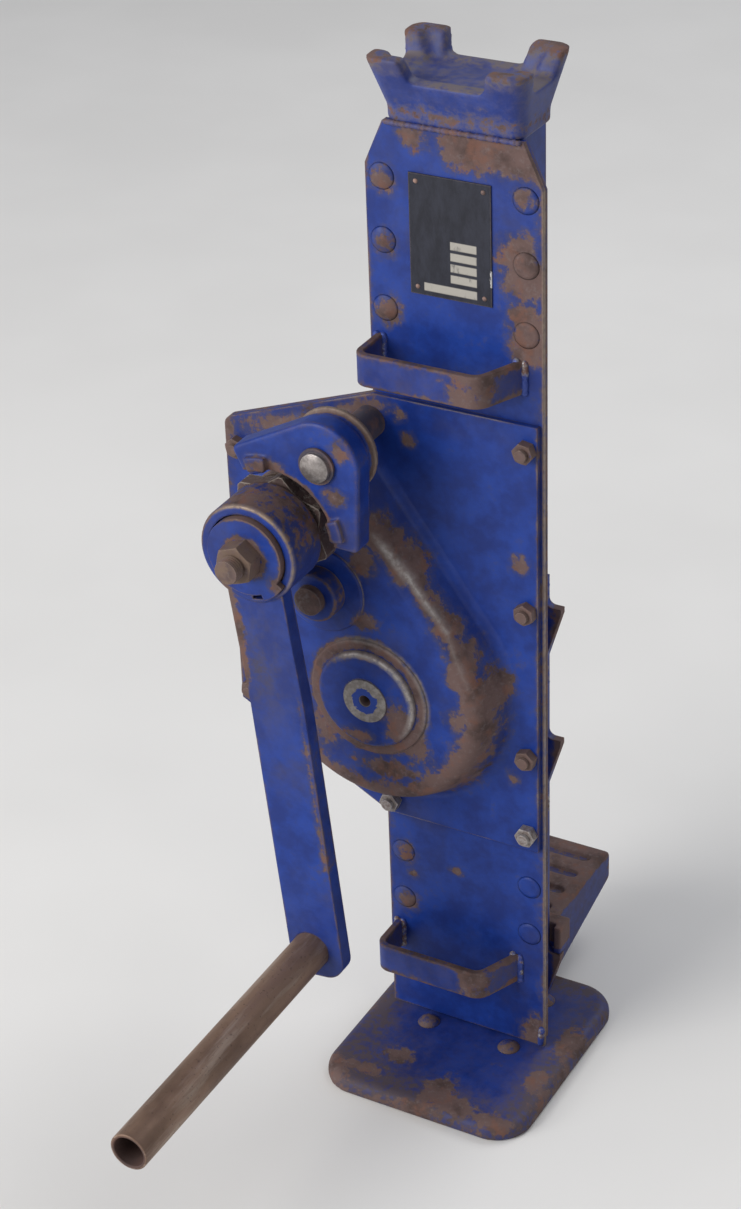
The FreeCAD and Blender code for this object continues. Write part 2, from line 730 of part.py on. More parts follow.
def case_corners(inset, right):
    """Outline of the gear case's walls, drawn in by an inset on all sides but the right one."""
    rise = (CASE_TOP - CASE_LEFT_TOP) / (-COLUMN_HALF - CASE_LEFT)
    fall = (CASE_LEFT_BOTTOM - CASE_BOTTOM) / (-COLUMN_HALF - CASE_LEFT)
    left = CASE_LEFT + inset
    top_slant = inset * math.sqrt(1 + rise * rise)
    bottom_slant = inset * math.sqrt(1 + fall * fall)
    top_corner = -COLUMN_HALF + (top_slant - inset) / rise
    bottom_corner = -COLUMN_HALF + (bottom_slant - inset) / fall
    return [(left, CASE_LEFT_BOTTOM - fall * inset + bottom_slant), (bottom_corner, CASE_BOTTOM + inset),
            (right, CASE_BOTTOM + inset), (right, CASE_TOP - inset), (top_corner, CASE_TOP - inset),
            (left, CASE_LEFT_TOP + rise * inset - top_slant)]


def gear_case_back():
    """Welded pan behind the wing of the cover, open to the column on its right."""
    wing = extruded(cover_corners(), "xz", 0, PLATE)
    wing = wing.cut(box(-COLUMN_HALF, COLUMN_HALF, 0, PLATE, 0, COLUMN_TOP))
    walls = extruded(case_corners(0, -CASING_HALF), "xz", 0, CASING_REAR)
    walls = walls.cut(box(-COLUMN_HALF, 0, 0, PLATE, 0, COLUMN_TOP))
    hollow = extruded(case_corners(PLATE, 0), "xz", 0, CASING_REAR - PLATE)
    pan = wing.fuse(walls).cut(hollow)
    pan = pan.cut(rod(LIFT_X, LIFT_Z, LIFT_REAR_BUSH, 0, EAR_REAR))
    pan = pan.cut(rod(MID_X, MID_Z, REAR_BUSH, 0, EAR_REAR))
    pan = pan.cut(rod(CRANK_X, CRANK_Z, REAR_BUSH, 0, EAR_REAR))
    for x, z in wing_bolts():
        pan = pan.cut(rod(x, z, BOLT, 0, PLATE))
    return single(pan)


def bulge_wire(y, lift_radius, crank_radius):
    """Belt outline round the lifting axle and the crank shaft."""
    run = V(CRANK_X - LIFT_X, 0, CRANK_Z - LIFT_Z)
    along = math.atan2(run.z, run.x)
    lean = math.acos((lift_radius - crank_radius) / run.Length)

    def at(x, z, radius, angle):
        return V(x + radius * math.cos(angle), y, z + radius * math.sin(angle))

    lift_right = at(LIFT_X, LIFT_Z, lift_radius, along - lean)
    lift_left = at(LIFT_X, LIFT_Z, lift_radius, along + lean)
    crank_right = at(CRANK_X, CRANK_Z, crank_radius, along - lean)
    crank_left = at(CRANK_X, CRANK_Z, crank_radius, along + lean)
    lift_far = at(LIFT_X, LIFT_Z, lift_radius, along + math.pi)
    crank_far = at(CRANK_X, CRANK_Z, crank_radius, along)
    return Part.Wire([
        Part.Arc(lift_left, lift_far, lift_right).toShape(),
        Part.makeLine(lift_right, crank_right),
        Part.Arc(crank_right, crank_far, crank_left).toShape(),
        Part.makeLine(crank_left, lift_left),
    ])


def bulge(rear, front, shrink, top_round):
    """Drafted dome of the cover between two depths, drawn in by a shrink."""
    slope = BULGE_DRAFT / (BULGE_HEIGHT - COVER)
    wires = []
    for y in (rear, front):
        pull = (y + COVER) * slope - shrink
        wires.append(bulge_wire(y, BULGE_LIFT_FOOT + pull, BULGE_CRANK_FOOT + pull))
    solid = Part.makeLoft(wires, True, True)
    return solid.makeFillet(top_round, edges_on_plane(solid, "Y", front))


def bulge_foot_edges(cover):
    """Edges where the bulge leaves the flat of the cover, told from the cover's own outline."""
    corners = cover_corners()
    sides = []
    for index, corner in enumerate(corners):
        following = corners[(index + 1) % len(corners)]
        sides.append(Part.makeLine(V(corner[0], -COVER, corner[1]), V(following[0], -COVER, following[1])))
    kept = []
    for edge in edges_on_plane(cover, "Y", -COVER):
        middle = edge.valueAt((edge.FirstParameter + edge.LastParameter) / 2)
        nearest = min(side.distToShape(Part.Vertex(middle))[0] for side in sides)
        if nearest > COVER_CORNER / 2:
            kept.append(edge)
    return kept


def boss_step(x, z, radius):
    """Raised round seat on the bulge's top, under a boss."""
    step = rod(x, z, radius, STEP_FACE, BULGE_FACE + COVER / 2)
    return step.makeFillet(BULGE_STEP_ROUND, edges_on_plane(step, "Y", STEP_FACE))


def gear_cover():
    """Pressed cover: a flat plate with a drafted dome over the gears, rounded inside and out."""
    slope = BULGE_DRAFT / (BULGE_HEIGHT - COVER)
    shrink = COVER * math.sqrt(1 + slope * slope)
    plate = extruded(cover_corners(), "xz", -COVER, 0)
    cover = plate.fuse(bulge(-COVER / 2, BULGE_FACE, 0, BULGE_ROUND)).removeSplitter()
    cover = cover.makeFillet(BULGE_FOOT_ROUND, bulge_foot_edges(cover))
    cover = cover.cut(bulge(0, BULGE_FACE + COVER, shrink, BULGE_ROUND_INSIDE))
    cover = cover.fuse(boss_step(LIFT_X, LIFT_Z, LIFT_STEP)).fuse(boss_step(MID_X, MID_Z, MID_STEP))
    cover = cover.cut(rod(LIFT_X, LIFT_Z, LIFT_SLEEVE, STEP_FACE, 0))
    cover = cover.cut(rod(MID_X, MID_Z, MID_SLEEVE, STEP_FACE, 0))
    cover = cover.cut(rod(CRANK_X, CRANK_Z, CRANK_SLEEVE, BULGE_FACE, 0))
    cover = cover.cut(rod(PAWL_X, PAWL_Z, PAWL_STUD, -COVER, 0))
    cover = cover.cut(rod(PAWL_X, PAWL_Z, PAWL_STUD_COLLAR, BULGE_FACE, -COVER))
    spot_face = BOLT_NUT_FLATS / math.sqrt(3) + SPOT_FACE
    for x, z in column_bolts() + wing_bolts():
        cover = cover.cut(rod(x, z, BOLT, -COVER, 0))
        cover = cover.cut(rod(x, z, spot_face, BULGE_FACE, -COVER))
    return single(cover)


def cover_bolt_stack():
    """Bolt places with the depth of the face that each bolt's head bears on."""
    places = [(x, z, FLANGE_REAR) for x, z in column_bolts()]
    places += [(x, z, PLATE) for x, z in wing_bolts()]
    return places


def cover_bolts():
    bolts = []
    end = -COVER - BOLT_NUT_HEIGHT - BOLT_PROUD
    for x, z, seat in cover_bolt_stack():
        shank = rod(x, z, BOLT, end, seat)
        head = hexagon(x, -z, BOLT_NUT_FLATS, -seat - BOLT_HEAD_HEIGHT, -seat, BOLT_HEAD_BEARING)
        head.rotate(V(0, 0, 0), V(1, 0, 0), 180)
        bolts.append(single(shank.fuse(head)))
    return Part.makeCompound(bolts)


def cover_nuts():
    nuts = []
    front = -COVER - BOLT_NUT_HEIGHT
    for index, (x, z) in enumerate(column_bolts() + wing_bolts()):
        nut = hexagon(x, z, BOLT_NUT_FLATS, front, -COVER, BOLT_NUT_TURN * index)
        nuts.append(single(nut.cut(rod(x, z, BOLT, front, -COVER))))
    return Part.makeCompound(nuts)


def column_rivets():
    rivets = []
    for x, z in rivet_places():
        shank = rod(x, z, RIVET, 0, FLANGE_REAR)
        if x < 0:
            front = dome(x, 0, z, RIVET_HEAD, RIVET_DOME, V(0, -1, 0))
        else:
            front = Part.makeCone(RIVET_HEAD, RIVET_FLAT_TOP, RIVET_FLAT, V(x, 0, z), V(0, -1, 0))
        rear = dome(x, FLANGE_REAR, z, RIVET_REAR_HEAD, RIVET_DOME, V(0, 1, 0))
        rivets.append(single(shank.fuse(front).fuse(rear)))
    return Part.makeCompound(rivets)


def label_rivet_places():
    left = LABEL_LEFT + LABEL_RIVET_INSET
    right = LABEL_RIGHT - LABEL_RIVET_INSET
    low = LABEL_BOTTOM + LABEL_RIVET_INSET
    high = LABEL_TOP - LABEL_RIVET_INSET
    return [(left, low), (right, low), (left, high), (right, high)]


def rating_plate():
    plate = box(LABEL_LEFT, LABEL_RIGHT, -LABEL_THICK, 0, LABEL_BOTTOM, LABEL_TOP)
    for x, z in label_rivet_places():
        plate = plate.cut(rod(x, z, LABEL_RIVET / 2, -LABEL_THICK, 0))
    return single(plate)


def rating_plate_rivets():
    rivets = []
    for x, z in label_rivet_places():
        head = dome(x, -LABEL_THICK, z, LABEL_RIVET, LABEL_RIVET_DOME, V(0, -1, 0))
        rivets.append(single(rod(x, z, LABEL_RIVET / 2, -LABEL_THICK, 0).fuse(head)))
    return Part.makeCompound(rivets)


def carry_handle(bottom, right_inset):
    """Flat bar bent to a U with its right leg splayed, its ends welded to the front plate."""
    front = -STRAP_STANDOFF
    foot = COLUMN_HALF - right_inset
    slant = STRAP_SPLAY / STRAP_STANDOFF
    outer = [(STRAP_LEFT, 0), (STRAP_LEFT, front, STRAP_LEFT_BEND),
             (foot - STRAP_SPLAY, front, STRAP_RIGHT_BEND), (foot, 0)]
    left = STRAP_LEFT + STRAP_THICK
    right = foot - STRAP_THICK * math.sqrt(1 + slant * slant)
    inside = front + STRAP_THICK
    inner = [(left, 0), (left, inside, STRAP_LEFT_BEND - STRAP_THICK),
             (right + inside * slant, inside, STRAP_RIGHT_BEND - STRAP_THICK), (right, 0)]
    top = bottom + STRAP_HEIGHT
    bar = extruded(outer, "xy", bottom, top).cut(extruded(inner, "xy", bottom, top))
    rims = edges_on_plane(bar, "Z", bottom) + edges_on_plane(bar, "Z", top)
    long_edges = [edge for edge in rims if edge.BoundBox.YMin < -STRAP_EDGE]
    return single(bar.makeFillet(STRAP_EDGE, long_edges))


def rack_guide(bottom):
    """L-shaped block that the rack slides in, at its front and its right."""
    inner = CASING_INSIDE
    top = bottom + GUIDE_HEIGHT
    side = box(RACK_BACK_X + SIDE_GAP, inner, PLATE, CASING_REAR - PLATE, bottom, top)
    front = box(-inner, inner, PLATE, RACK_FRONT - SIDE_GAP, bottom, top)
    return single(side.fuse(front))


def rack_backing_block():
    """Block behind the rack, level with the pinion, that takes the push of its teeth."""
    bottom = LIFT_Z - BACKING_HEIGHT / 2
    return box(RACK_BACK_X + SIDE_GAP, CASING_INSIDE, PLATE, CASING_REAR - PLATE, bottom,
               bottom + BACKING_HEIGHT)


def head_rectangle(half, front, rear, z, round_radius):
    corners = [(-half, front, round_radius), (half, front, round_radius),
               (half, rear, round_radius), (-half, rear, round_radius)]
    wire = outline(corners, "xy")
    wire.translate(V(0, 0, z))
    return wire


def head_crown():
    """Forged head: a neck that flares to four corner horns round a dished seat."""
    neck_top = COLUMN_TOP + HEAD_NECK_HEIGHT
    neck = head_rectangle(HEAD_NECK_HALF, 0, HEAD_NECK_REAR, COLUMN_TOP, HEAD_ROUND)
    waist = head_rectangle(HEAD_NECK_HALF, 0, HEAD_NECK_REAR, neck_top, HEAD_ROUND)
    rim = head_rectangle(HEAD_HALF, HEAD_FRONT, HEAD_REAR, HEAD_TOP, HEAD_ROUND)
    body = Part.makeLoft([neck, waist], True, True).fuse(Part.makeLoft([waist, rim], True, True))
    floor_z = HEAD_TOP - HEAD_DISH
    dish_low = head_rectangle(HEAD_HALF - HEAD_WALL_FOOT, HEAD_FRONT + HEAD_WALL_FOOT,
                              HEAD_REAR - HEAD_WALL_FOOT, floor_z, HEAD_ROUND / 2)
    dish_high = head_rectangle(HEAD_HALF - HEAD_WALL, HEAD_FRONT + HEAD_WALL, HEAD_REAR - HEAD_WALL,
                               HEAD_TOP, HEAD_ROUND / 2)
    body = body.cut(Part.makeLoft([dish_low, dish_high], True, True))
    valley_z = HEAD_TOP - HEAD_VALLEY
    valley_x = HEAD_HALF - HEAD_HORN_X
    valley_y0 = HEAD_FRONT + HEAD_HORN_Y
    valley_y1 = HEAD_REAR - HEAD_HORN_Y
    flare = HEAD_VALLEY_FLARE
    across = [(-valley_x, valley_z, HEAD_ROUND / 2), (valley_x, valley_z, HEAD_ROUND / 2),
              (valley_x + flare, HEAD_TOP), (-valley_x - flare, HEAD_TOP)]
    along = [(valley_y0, valley_z, HEAD_ROUND / 2), (valley_y1, valley_z, HEAD_ROUND / 2),
             (valley_y1 + flare, HEAD_TOP), (valley_y0 - flare, HEAD_TOP)]
    body = body.cut(extruded(across, "xz", HEAD_FRONT, HEAD_REAR))
    body = body.cut(extruded(along, "yz", -HEAD_HALF, HEAD_HALF))
    tenon = box(-CASING_INSIDE, CASING_INSIDE, PLATE, CASING_REAR - PLATE, COLUMN_TOP - HEAD_TENON,
                COLUMN_TOP)
    return single(body.fuse(tenon))


# Shafts, bushes and gears

def front_bush(x, z, bore, sleeve, boss, front, seat):
    """Bush with a boss between its front and the seat that it stands on, and a sleeve through the cover."""
    face = rod(x, z, boss, front, seat)
    face = face.makeFillet(BOSS_ROUND, edges_on_plane(face, "Y", front))
    body = face.fuse(rod(x, z, sleeve, seat, BULGE_FACE + COVER + BUSH_INSIDE))
    hole = rod(x, z, bore + RUN_CLEAR, front, 0)
    return single(body.cut(hole))


def lift_bush_front():
    return front_bush(LIFT_X, LIFT_Z, LIFT_JOURNAL, LIFT_SLEEVE, LIFT_BOSS, BOSS_FACE, STEP_FACE)


def mid_bush_front():
    return front_bush(MID_X, MID_Z, MID_JOURNAL, MID_SLEEVE, MID_BOSS, MID_BOSS_FACE, STEP_FACE)


def crank_bush_front():
    return front_bush(CRANK_X, CRANK_Z, CRANK_JOURNAL, CRANK_SLEEVE, CRANK_BOSS, BOSS_FACE, BULGE_FACE)


def rear_bush(x, z, bore):
    rear = CASING_REAR + REAR_FLANGE_THICK
    body = rod(x, z, REAR_BUSH, rear - REAR_BUSH_LENGTH, CASING_REAR).fuse(
        rod(x, z, REAR_BUSH_FLANGE, CASING_REAR, rear))
    return single(body.cut(rod(x, z, bore + RUN_CLEAR, 0, rear)))


def lift_bush_rear():
    return ring(LIFT_X, LIFT_Z, LIFT_REAR_JOURNAL + RUN_CLEAR, LIFT_REAR_BUSH,
                RACK_REAR + SIDE_GAP, EAR_REAR)


def lift_pinion_shaft():
    """Lifting pinion cut on its own shaft; one tooth points at the rack."""
    teeth = gear(LIFT_X, LIFT_Z, LIFT_MODULE, LIFT_TEETH, LIFT_ADDENDUM, LIFT_DEDENDUM, 0,
                 RACK_FRONT - PINION_OVERHANG, RACK_REAR)
    seat_rear = MAIN_FRONT + MAIN_FACE
    shoulder = LIFT_PITCH_RADIUS - LIFT_DEDENDUM
    shaft = turned(LIFT_X, LIFT_Z, [
        (BOSS_FACE - LIFT_PROUD, MAIN_FRONT, LIFT_JOURNAL),
        (MAIN_FRONT, seat_rear, LIFT_SEAT),
        (seat_rear, RACK_FRONT, shoulder),
        (RACK_FRONT, EAR_REAR, LIFT_REAR_JOURNAL),
    ])
    shaft = shaft.fuse(teeth)
    shaft = shaft.cut(key_box(LIFT_X, LIFT_Z, LIFT_SEAT, MAIN_FRONT + KEY_LENGTH_MARGIN,
                              seat_rear - KEY_LENGTH_MARGIN))
    centre_hole = Part.makeCone(LIFT_CENTRE_HOLE, 0, LIFT_CENTRE_HOLE * 2,
                                V(LIFT_X, BOSS_FACE - LIFT_PROUD, LIFT_Z), V(0, 1, 0))
    return single(shaft.cut(centre_hole))


def main_gear():
    rear = MAIN_FRONT + MAIN_FACE
    phase = MID_BEARING + 180.0 / MAIN_TEETH
    wheel = gear(LIFT_X, LIFT_Z, MAIN_MODULE, MAIN_TEETH, MAIN_ADDENDUM, MAIN_DEDENDUM, phase,
                 MAIN_FRONT, rear)
    wheel = wheel.cut(rod(LIFT_X, LIFT_Z, LIFT_SEAT, MAIN_FRONT, rear))
    return single(wheel.cut(key_box(LIFT_X, LIFT_Z, LIFT_SEAT, MAIN_FRONT, rear)))


def main_gear_key():
    return key_box(LIFT_X, LIFT_Z, LIFT_SEAT, MAIN_FRONT + KEY_LENGTH_MARGIN,
                   MAIN_FRONT + MAIN_FACE - KEY_LENGTH_MARGIN)


def mid_pinion_shaft():
    teeth = gear(MID_X, MID_Z, MAIN_MODULE, MID_PINION_TEETH, MAIN_ADDENDUM, MAIN_DEDENDUM,
                 MID_BEARING + 180, MAIN_FRONT, MAIN_FRONT + MAIN_FACE + PINION_OVERHANG)
    wheel_rear = MID_FRONT + MID_FACE
    shoulder = MAIN_MODULE * MID_PINION_TEETH / 2 - MAIN_DEDENDUM
    shaft = turned(MID_X, MID_Z, [
        (MID_END, MAIN_FRONT, MID_JOURNAL),
        (MAIN_FRONT, MID_FRONT, shoulder),
        (MID_FRONT, wheel_rear, MID_SEAT),
        (wheel_rear, CASING_REAR + REAR_FLANGE_THICK, MID_REAR_JOURNAL),
    ])
    shaft = shaft.fuse(teeth)
    return single(shaft.cut(key_box(MID_X, MID_Z, MID_SEAT, MID_FRONT + KEY_LENGTH_MARGIN,
                                    wheel_rear - KEY_LENGTH_MARGIN)))


def mid_gear():
    rear = MID_FRONT + MID_FACE
    phase = CRANK_BEARING + 180.0 / MID_TEETH
    wheel = gear(MID_X, MID_Z, MID_MODULE, MID_TEETH, MID_ADDENDUM, MID_DEDENDUM, phase, MID_FRONT, rear)
    wheel = wheel.cut(rod(MID_X, MID_Z, MID_SEAT, MID_FRONT, rear))
    return single(wheel.cut(key_box(MID_X, MID_Z, MID_SEAT, MID_FRONT, rear)))


def mid_gear_key():
    return key_box(MID_X, MID_Z, MID_SEAT, MID_FRONT + KEY_LENGTH_MARGIN,
                   MID_FRONT + MID_FACE - KEY_LENGTH_MARGIN)


def crank_pinion_shaft():
    teeth = gear(CRANK_X, CRANK_Z, MID_MODULE, CRANK_PINION_TEETH, MID_ADDENDUM, MID_DEDENDUM,
                 CRANK_BEARING + 180, MID_FRONT - PINION_OVERHANG, MID_FRONT + MID_FACE + PINION_OVERHANG)
    pinion_root = MID_MODULE * CRANK_PINION_TEETH / 2 - MID_DEDENDUM
    shaft = turned(CRANK_X, CRANK_Z, [
        (STOP_FRONT - NUT_HEIGHT - THREAD_PROUD, STOP_REAR, STUD_END),
        (STOP_REAR, LINING_REAR, THREAD),
        (LINING_REAR, BRAKE_COLLAR_REAR, BRAKE_COLLAR),
        (BRAKE_COLLAR_REAR, BULGE_FACE + COVER + BUSH_INSIDE, CRANK_JOURNAL),
        (BULGE_FACE + COVER + BUSH_INSIDE, MID_FRONT, pinion_root),
        (MID_FRONT, CASING_REAR + REAR_FLANGE_THICK, CRANK_REAR_JOURNAL),
    ])
    return single(shaft.fuse(teeth))


def brake_lining(front):
    return ring(CRANK_X, CRANK_Z, THREAD, LINING, front, front + LINING_THICK)


def ratchet_phase():
    """A gap stands at the rocker pawl's line of centres."""
    return PAWL_BEARING + 180.0 / RATCHET_TEETH


def ratchet_wheel():
    pitch = 2 * math.pi / RATCHET_TEETH
    corners = []
    for tooth in range(RATCHET_TEETH):
        centre = math.radians(ratchet_phase()) + tooth * pitch
        for radius, half in ((RATCHET_ROOT, -RATCHET_ROOT_SHARE / 2), (RATCHET_TIP, -RATCHET_TIP_SHARE / 2),
                             (RATCHET_TIP, RATCHET_TIP_SHARE / 2), (RATCHET_ROOT, RATCHET_ROOT_SHARE / 2)):
            angle = centre + half * pitch
            corners.append((CRANK_X + radius * math.cos(angle), CRANK_Z + radius * math.sin(angle)))
    wheel = extruded(corners, "xz", RATCHET_FRONT, RATCHET_REAR)
    return single(wheel.cut(rod(CRANK_X, CRANK_Z, THREAD, RATCHET_FRONT, RATCHET_REAR)))


def sector(inner, outer, start, end, front, rear):
    """Ring sector about the crank shaft between two bearings."""
    wedge = Part.makeCylinder(outer, rear - front, V(0, 0, 0), V(0, 0, 1), end - start)
    wedge = wedge.cut(Part.makeCylinder(inner, rear - front)) if inner > 0 else wedge
    wedge.rotate(V(0, 0, 0), V(0, 0, 1), start)
    wedge.rotate(V(0, 0, 0), V(1, 0, 0), 90)
    wedge.translate(V(CRANK_X, rear, CRANK_Z))
    return wedge


def stop_disc():
    disc = rod(CRANK_X, CRANK_Z, STOP_DISC, STOP_FRONT, STOP_REAR)
    half = STOP_TAB_ANGLE / 2
    tab = sector(0, STOP_TAB, STOP_TAB_BEARING - half, STOP_TAB_BEARING + half, STOP_FRONT, STOP_REAR)
    return single(disc.fuse(tab).cut(rod(CRANK_X, CRANK_Z, STUD_END, STOP_FRONT, STOP_REAR)))


def crank_nut():
    front = STOP_FRONT - NUT_HEIGHT
    nut = hexagon(CRANK_X, CRANK_Z, NUT_FLATS, front, STOP_FRONT, NUT_BEARING)
    return single(nut.cut(rod(CRANK_X, CRANK_Z, STUD_END, front, STOP_FRONT)))


def crank_end():
    angle = math.radians(CRANK_TILT)
    return CRANK_X + CRANK_RADIUS * math.sin(angle), CRANK_Z - CRANK_RADIUS * math.cos(angle)


def crank_arm():
    """Crank hub and arm, forged in one; drawn hanging straight down and then tilted."""
    hub = rod(CRANK_X, CRANK_Z, HUB, HUB_FRONT, HUB_REAR)
    hub = hub.makeFillet(HUB_EDGE, edges_on_plane(hub, "Y", HUB_FRONT))
    low = CRANK_Z - CRANK_RADIUS - ARM_END
    taper = CRANK_Z - ARM_ROOT_LENGTH
    corners = [(CRANK_X - ARM_LEFT, low, ARM_END_ROUND), (CRANK_X + ARM_RIGHT, low, ARM_END_ROUND),
               (CRANK_X + ARM_RIGHT, taper), (CRANK_X + ARM_ROOT_RIGHT, CRANK_Z - HUB / 2),
               (CRANK_X + ARM_ROOT_RIGHT, CRANK_Z), (CRANK_X - ARM_ROOT_LEFT, CRANK_Z),
               (CRANK_X - ARM_ROOT_LEFT, CRANK_Z - HUB / 3), (CRANK_X - ARM_LEFT, taper)]
    arm = extruded(corners, "xz", ARM_FRONT, ARM_FRONT + ARM_THICK)
    arm.rotate(V(CRANK_X, 0, CRANK_Z), V(0, 1, 0), -CRANK_TILT)
    x, z = crank_end()
    body = hub.fuse(arm).cut(rod(x, z, TUBE, ARM_FRONT, ARM_FRONT + ARM_THICK))
    half = STOP_TAB_ANGLE / 2
    window = sector(0, STOP_TAB + SIDE_GAP, STOP_TAB_BEARING - half - RELEASE_ANGLE - STOP_PLAY,
                    STOP_TAB_BEARING + half + STOP_PLAY, HUB_FRONT, RECESS_FLOOR)
    body = body.cut(rod(CRANK_X, CRANK_Z, HUB_RECESS, HUB_FRONT, RECESS_FLOOR)).cut(window)
    return single(body.cut(rod(CRANK_X, CRANK_Z, THREAD + RUN_CLEAR, HUB_FRONT, HUB_REAR)))


def crank_handle_tube():
    x, z = crank_end()
    rear = ARM_FRONT + ARM_THICK
    front = rear - TUBE_LENGTH
    tube = ring(x, z, TUBE - TUBE_WALL, TUBE, front, rear)
    return single(tube.makeFillet(TUBE_EDGE, edges_on_plane(tube, "Y", front)))


# Rocker pawl

def pawl_stud():
    head_rear = PAWL_FRONT - SIDE_GAP
    collar_front = PAWL_REAR + PAWL_REAR_BOSS_LENGTH + SIDE_GAP
    washer_front = head_rear - PAWL_STUD_WASHER_THICK
    head_front = washer_front - PAWL_STUD_HEAD_THICK
    stud = turned(PAWL_X, PAWL_Z, [
        (head_front, washer_front, PAWL_STUD_HEAD),
        (washer_front, head_rear, PAWL_STUD_WASHER),
        (head_rear, collar_front, PAWL_STUD),
        (collar_front, -COVER, PAWL_STUD_COLLAR),
        (-COVER, 0, PAWL_STUD),
    ])
    cap = dome(PAWL_X, head_front, PAWL_Z, PAWL_STUD_HEAD, PAWL_STUD_DOME, V(0, -1, 0))
    return single(stud.fuse(cap))


def tangent_point(x, z, side):
    """Point where a line from (x, z) touches the pawl's boss on one side."""
    distance = math.hypot(PAWL_X - x, PAWL_Z - z)
    heading = math.atan2(z - PAWL_Z, x - PAWL_X)
    angle = heading + side * math.acos(PAWL_BOSS / distance)
    return PAWL_X + PAWL_BOSS * math.cos(angle), PAWL_Z + PAWL_BOSS * math.sin(angle)


def rocker_pawl():
    """Two-armed pawl that hugs the ratchet wheel, with a nose at the end of each arm."""
    spread = PAWL_PITCHES * 360.0 / RATCHET_TEETH
    reach = spread + PAWL_ARM_MARGIN
    tips = []
    for side in (-1, 1):
        angle = math.radians(PAWL_BEARING + side * reach)
        tips.append((CRANK_X + PAWL_ARM_OUTER * math.cos(angle), CRANK_Z + PAWL_ARM_OUTER * math.sin(angle)))
    right, left = tips
    profile = [(CRANK_X, CRANK_Z), (right[0], right[1], PAWL_TIP_ROUND), tangent_point(*right, 1),
               tangent_point(*left, -1), (left[0], left[1], PAWL_TIP_ROUND)]
    body = extruded(profile, "xz", PAWL_FRONT, PAWL_REAR)
    body = body.fuse(rod(PAWL_X, PAWL_Z, PAWL_BOSS, PAWL_FRONT, PAWL_REAR))
    body = body.removeSplitter()
    body = body.makeFillet(PAWL_EDGE, edges_on_plane(body, "Y", PAWL_FRONT))
    body = body.cut(rod(CRANK_X, CRANK_Z, PAWL_RING_INNER, PAWL_FRONT, PAWL_REAR))
    rear = PAWL_REAR + PAWL_REAR_BOSS_LENGTH
    body = body.fuse(rod(PAWL_X, PAWL_Z, PAWL_REAR_BOSS, PAWL_REAR, rear))
    body = body.fuse(rod(PAWL_X, PAWL_Z, PAWL_LIP, rear - PAWL_LIP_THICK, rear))
    nose_tip = RATCHET_TIP + PAWL_NOSE_GAP
    nose_root = PAWL_RING_INNER + PAWL_NOSE_GAP
    nose_half = PAWL_NOSE_HALF + PAWL_NOSE_SPREAD
    for side in (-1, 1):
        nose = extruded([(nose_tip, -PAWL_NOSE_HALF), (nose_root, -nose_half), (nose_root, nose_half),
                         (nose_tip, PAWL_NOSE_HALF)], "xz", RATCHET_FRONT, PAWL_REAR)
        nose.rotate(V(0, 0, 0), V(0, -1, 0), PAWL_BEARING + side * spread)
        nose.translate(V(CRANK_X, 0, CRANK_Z))
        body = body.fuse(nose)
        ends = sorted((PAWL_BEARING + side * (reach - PAWL_PAD_ANGLE), PAWL_BEARING + side * spread))
        body = body.fuse(sector(PAWL_RING_INNER, PAWL_RING_INNER + PAWL_PAD_WIDTH, ends[0], ends[1],
                                PAWL_FRONT - PAWL_PAD_HEIGHT, PAWL_FRONT + PAWL_EDGE))
    return single(body.cut(rod(PAWL_X, PAWL_Z, PAWL_STUD + RUN_CLEAR, PAWL_FRONT, rear)))


# Lifting claw

def claw():
    """Claw with a back that hangs on a pair of ears and a ribbed toe to lift with."""
    shelf = EAR_LOWEST + SIDE_GAP
    head_top = shelf + CLAW_LUG_HEIGHT
    profile = [(CLAW_FRONT, CLAW_BOTTOM), (CLAW_REAR + CLAW_HEEL, CLAW_BOTTOM, CLAW_EDGE),
               (CLAW_TOE, CLAW_SEAT - CLAW_TOE_THICK, CLAW_EDGE), (CLAW_TOE, CLAW_SEAT, CLAW_EDGE),
               (CLAW_REAR, CLAW_SEAT, CLAW_FILLET), (CLAW_REAR, head_top), (CLAW_FRONT, head_top)]
    body = extruded(profile, "yz", -CLAW_HALF, CLAW_HALF)
    rims = edges_on_plane(body, "X", -CLAW_HALF) + edges_on_plane(body, "X", CLAW_HALF)
    toe_rims = [edge for edge in rims if edge.BoundBox.YMax > CLAW_REAR + CLAW_SIDE_EDGE]
    body = body.makeFillet(CLAW_SIDE_EDGE, toe_rims)
    inside = EAR_HALF + EAR_FILLET + SIDE_GAP
    outside = EAR_HALF + EAR_REACH
    for side in (-1, 1):
        near = side * CLAW_HALF
        far = side * outside
        body = body.fuse(box(min(near, far), max(near, far), CLAW_FRONT, CLAW_REAR, shelf, head_top))
        near = side * inside
        body = body.fuse(box(min(near, far), max(near, far), CASING_REAR + SIDE_GAP, CLAW_REAR,
                             shelf, head_top))
    first = CLAW_REAR + CLAW_GROOVE_MARGIN_BACK
    pitch = (CLAW_TOE - CLAW_GROOVE_MARGIN_TOE - first) / (CLAW_GROOVE_COUNT - 1)
    end = CLAW_HALF - CLAW_GROOVE_MARGIN_SIDE - CLAW_GROOVE_WIDTH / 2
    for index in range(CLAW_GROOVE_COUNT):
        y = first + index * pitch
        groove = box(-end, end, y - CLAW_GROOVE_WIDTH / 2, y + CLAW_GROOVE_WIDTH / 2,
                     CLAW_SEAT - CLAW_GROOVE_DEPTH, CLAW_SEAT)
        for side in (-1, 1):
            groove = groove.fuse(Part.makeCylinder(CLAW_GROOVE_WIDTH / 2, CLAW_GROOVE_DEPTH,
                                                   V(side * end, y, CLAW_SEAT - CLAW_GROOVE_DEPTH)))
        body = body.cut(groove)
    return single(body)


# Every node, with the function that makes it

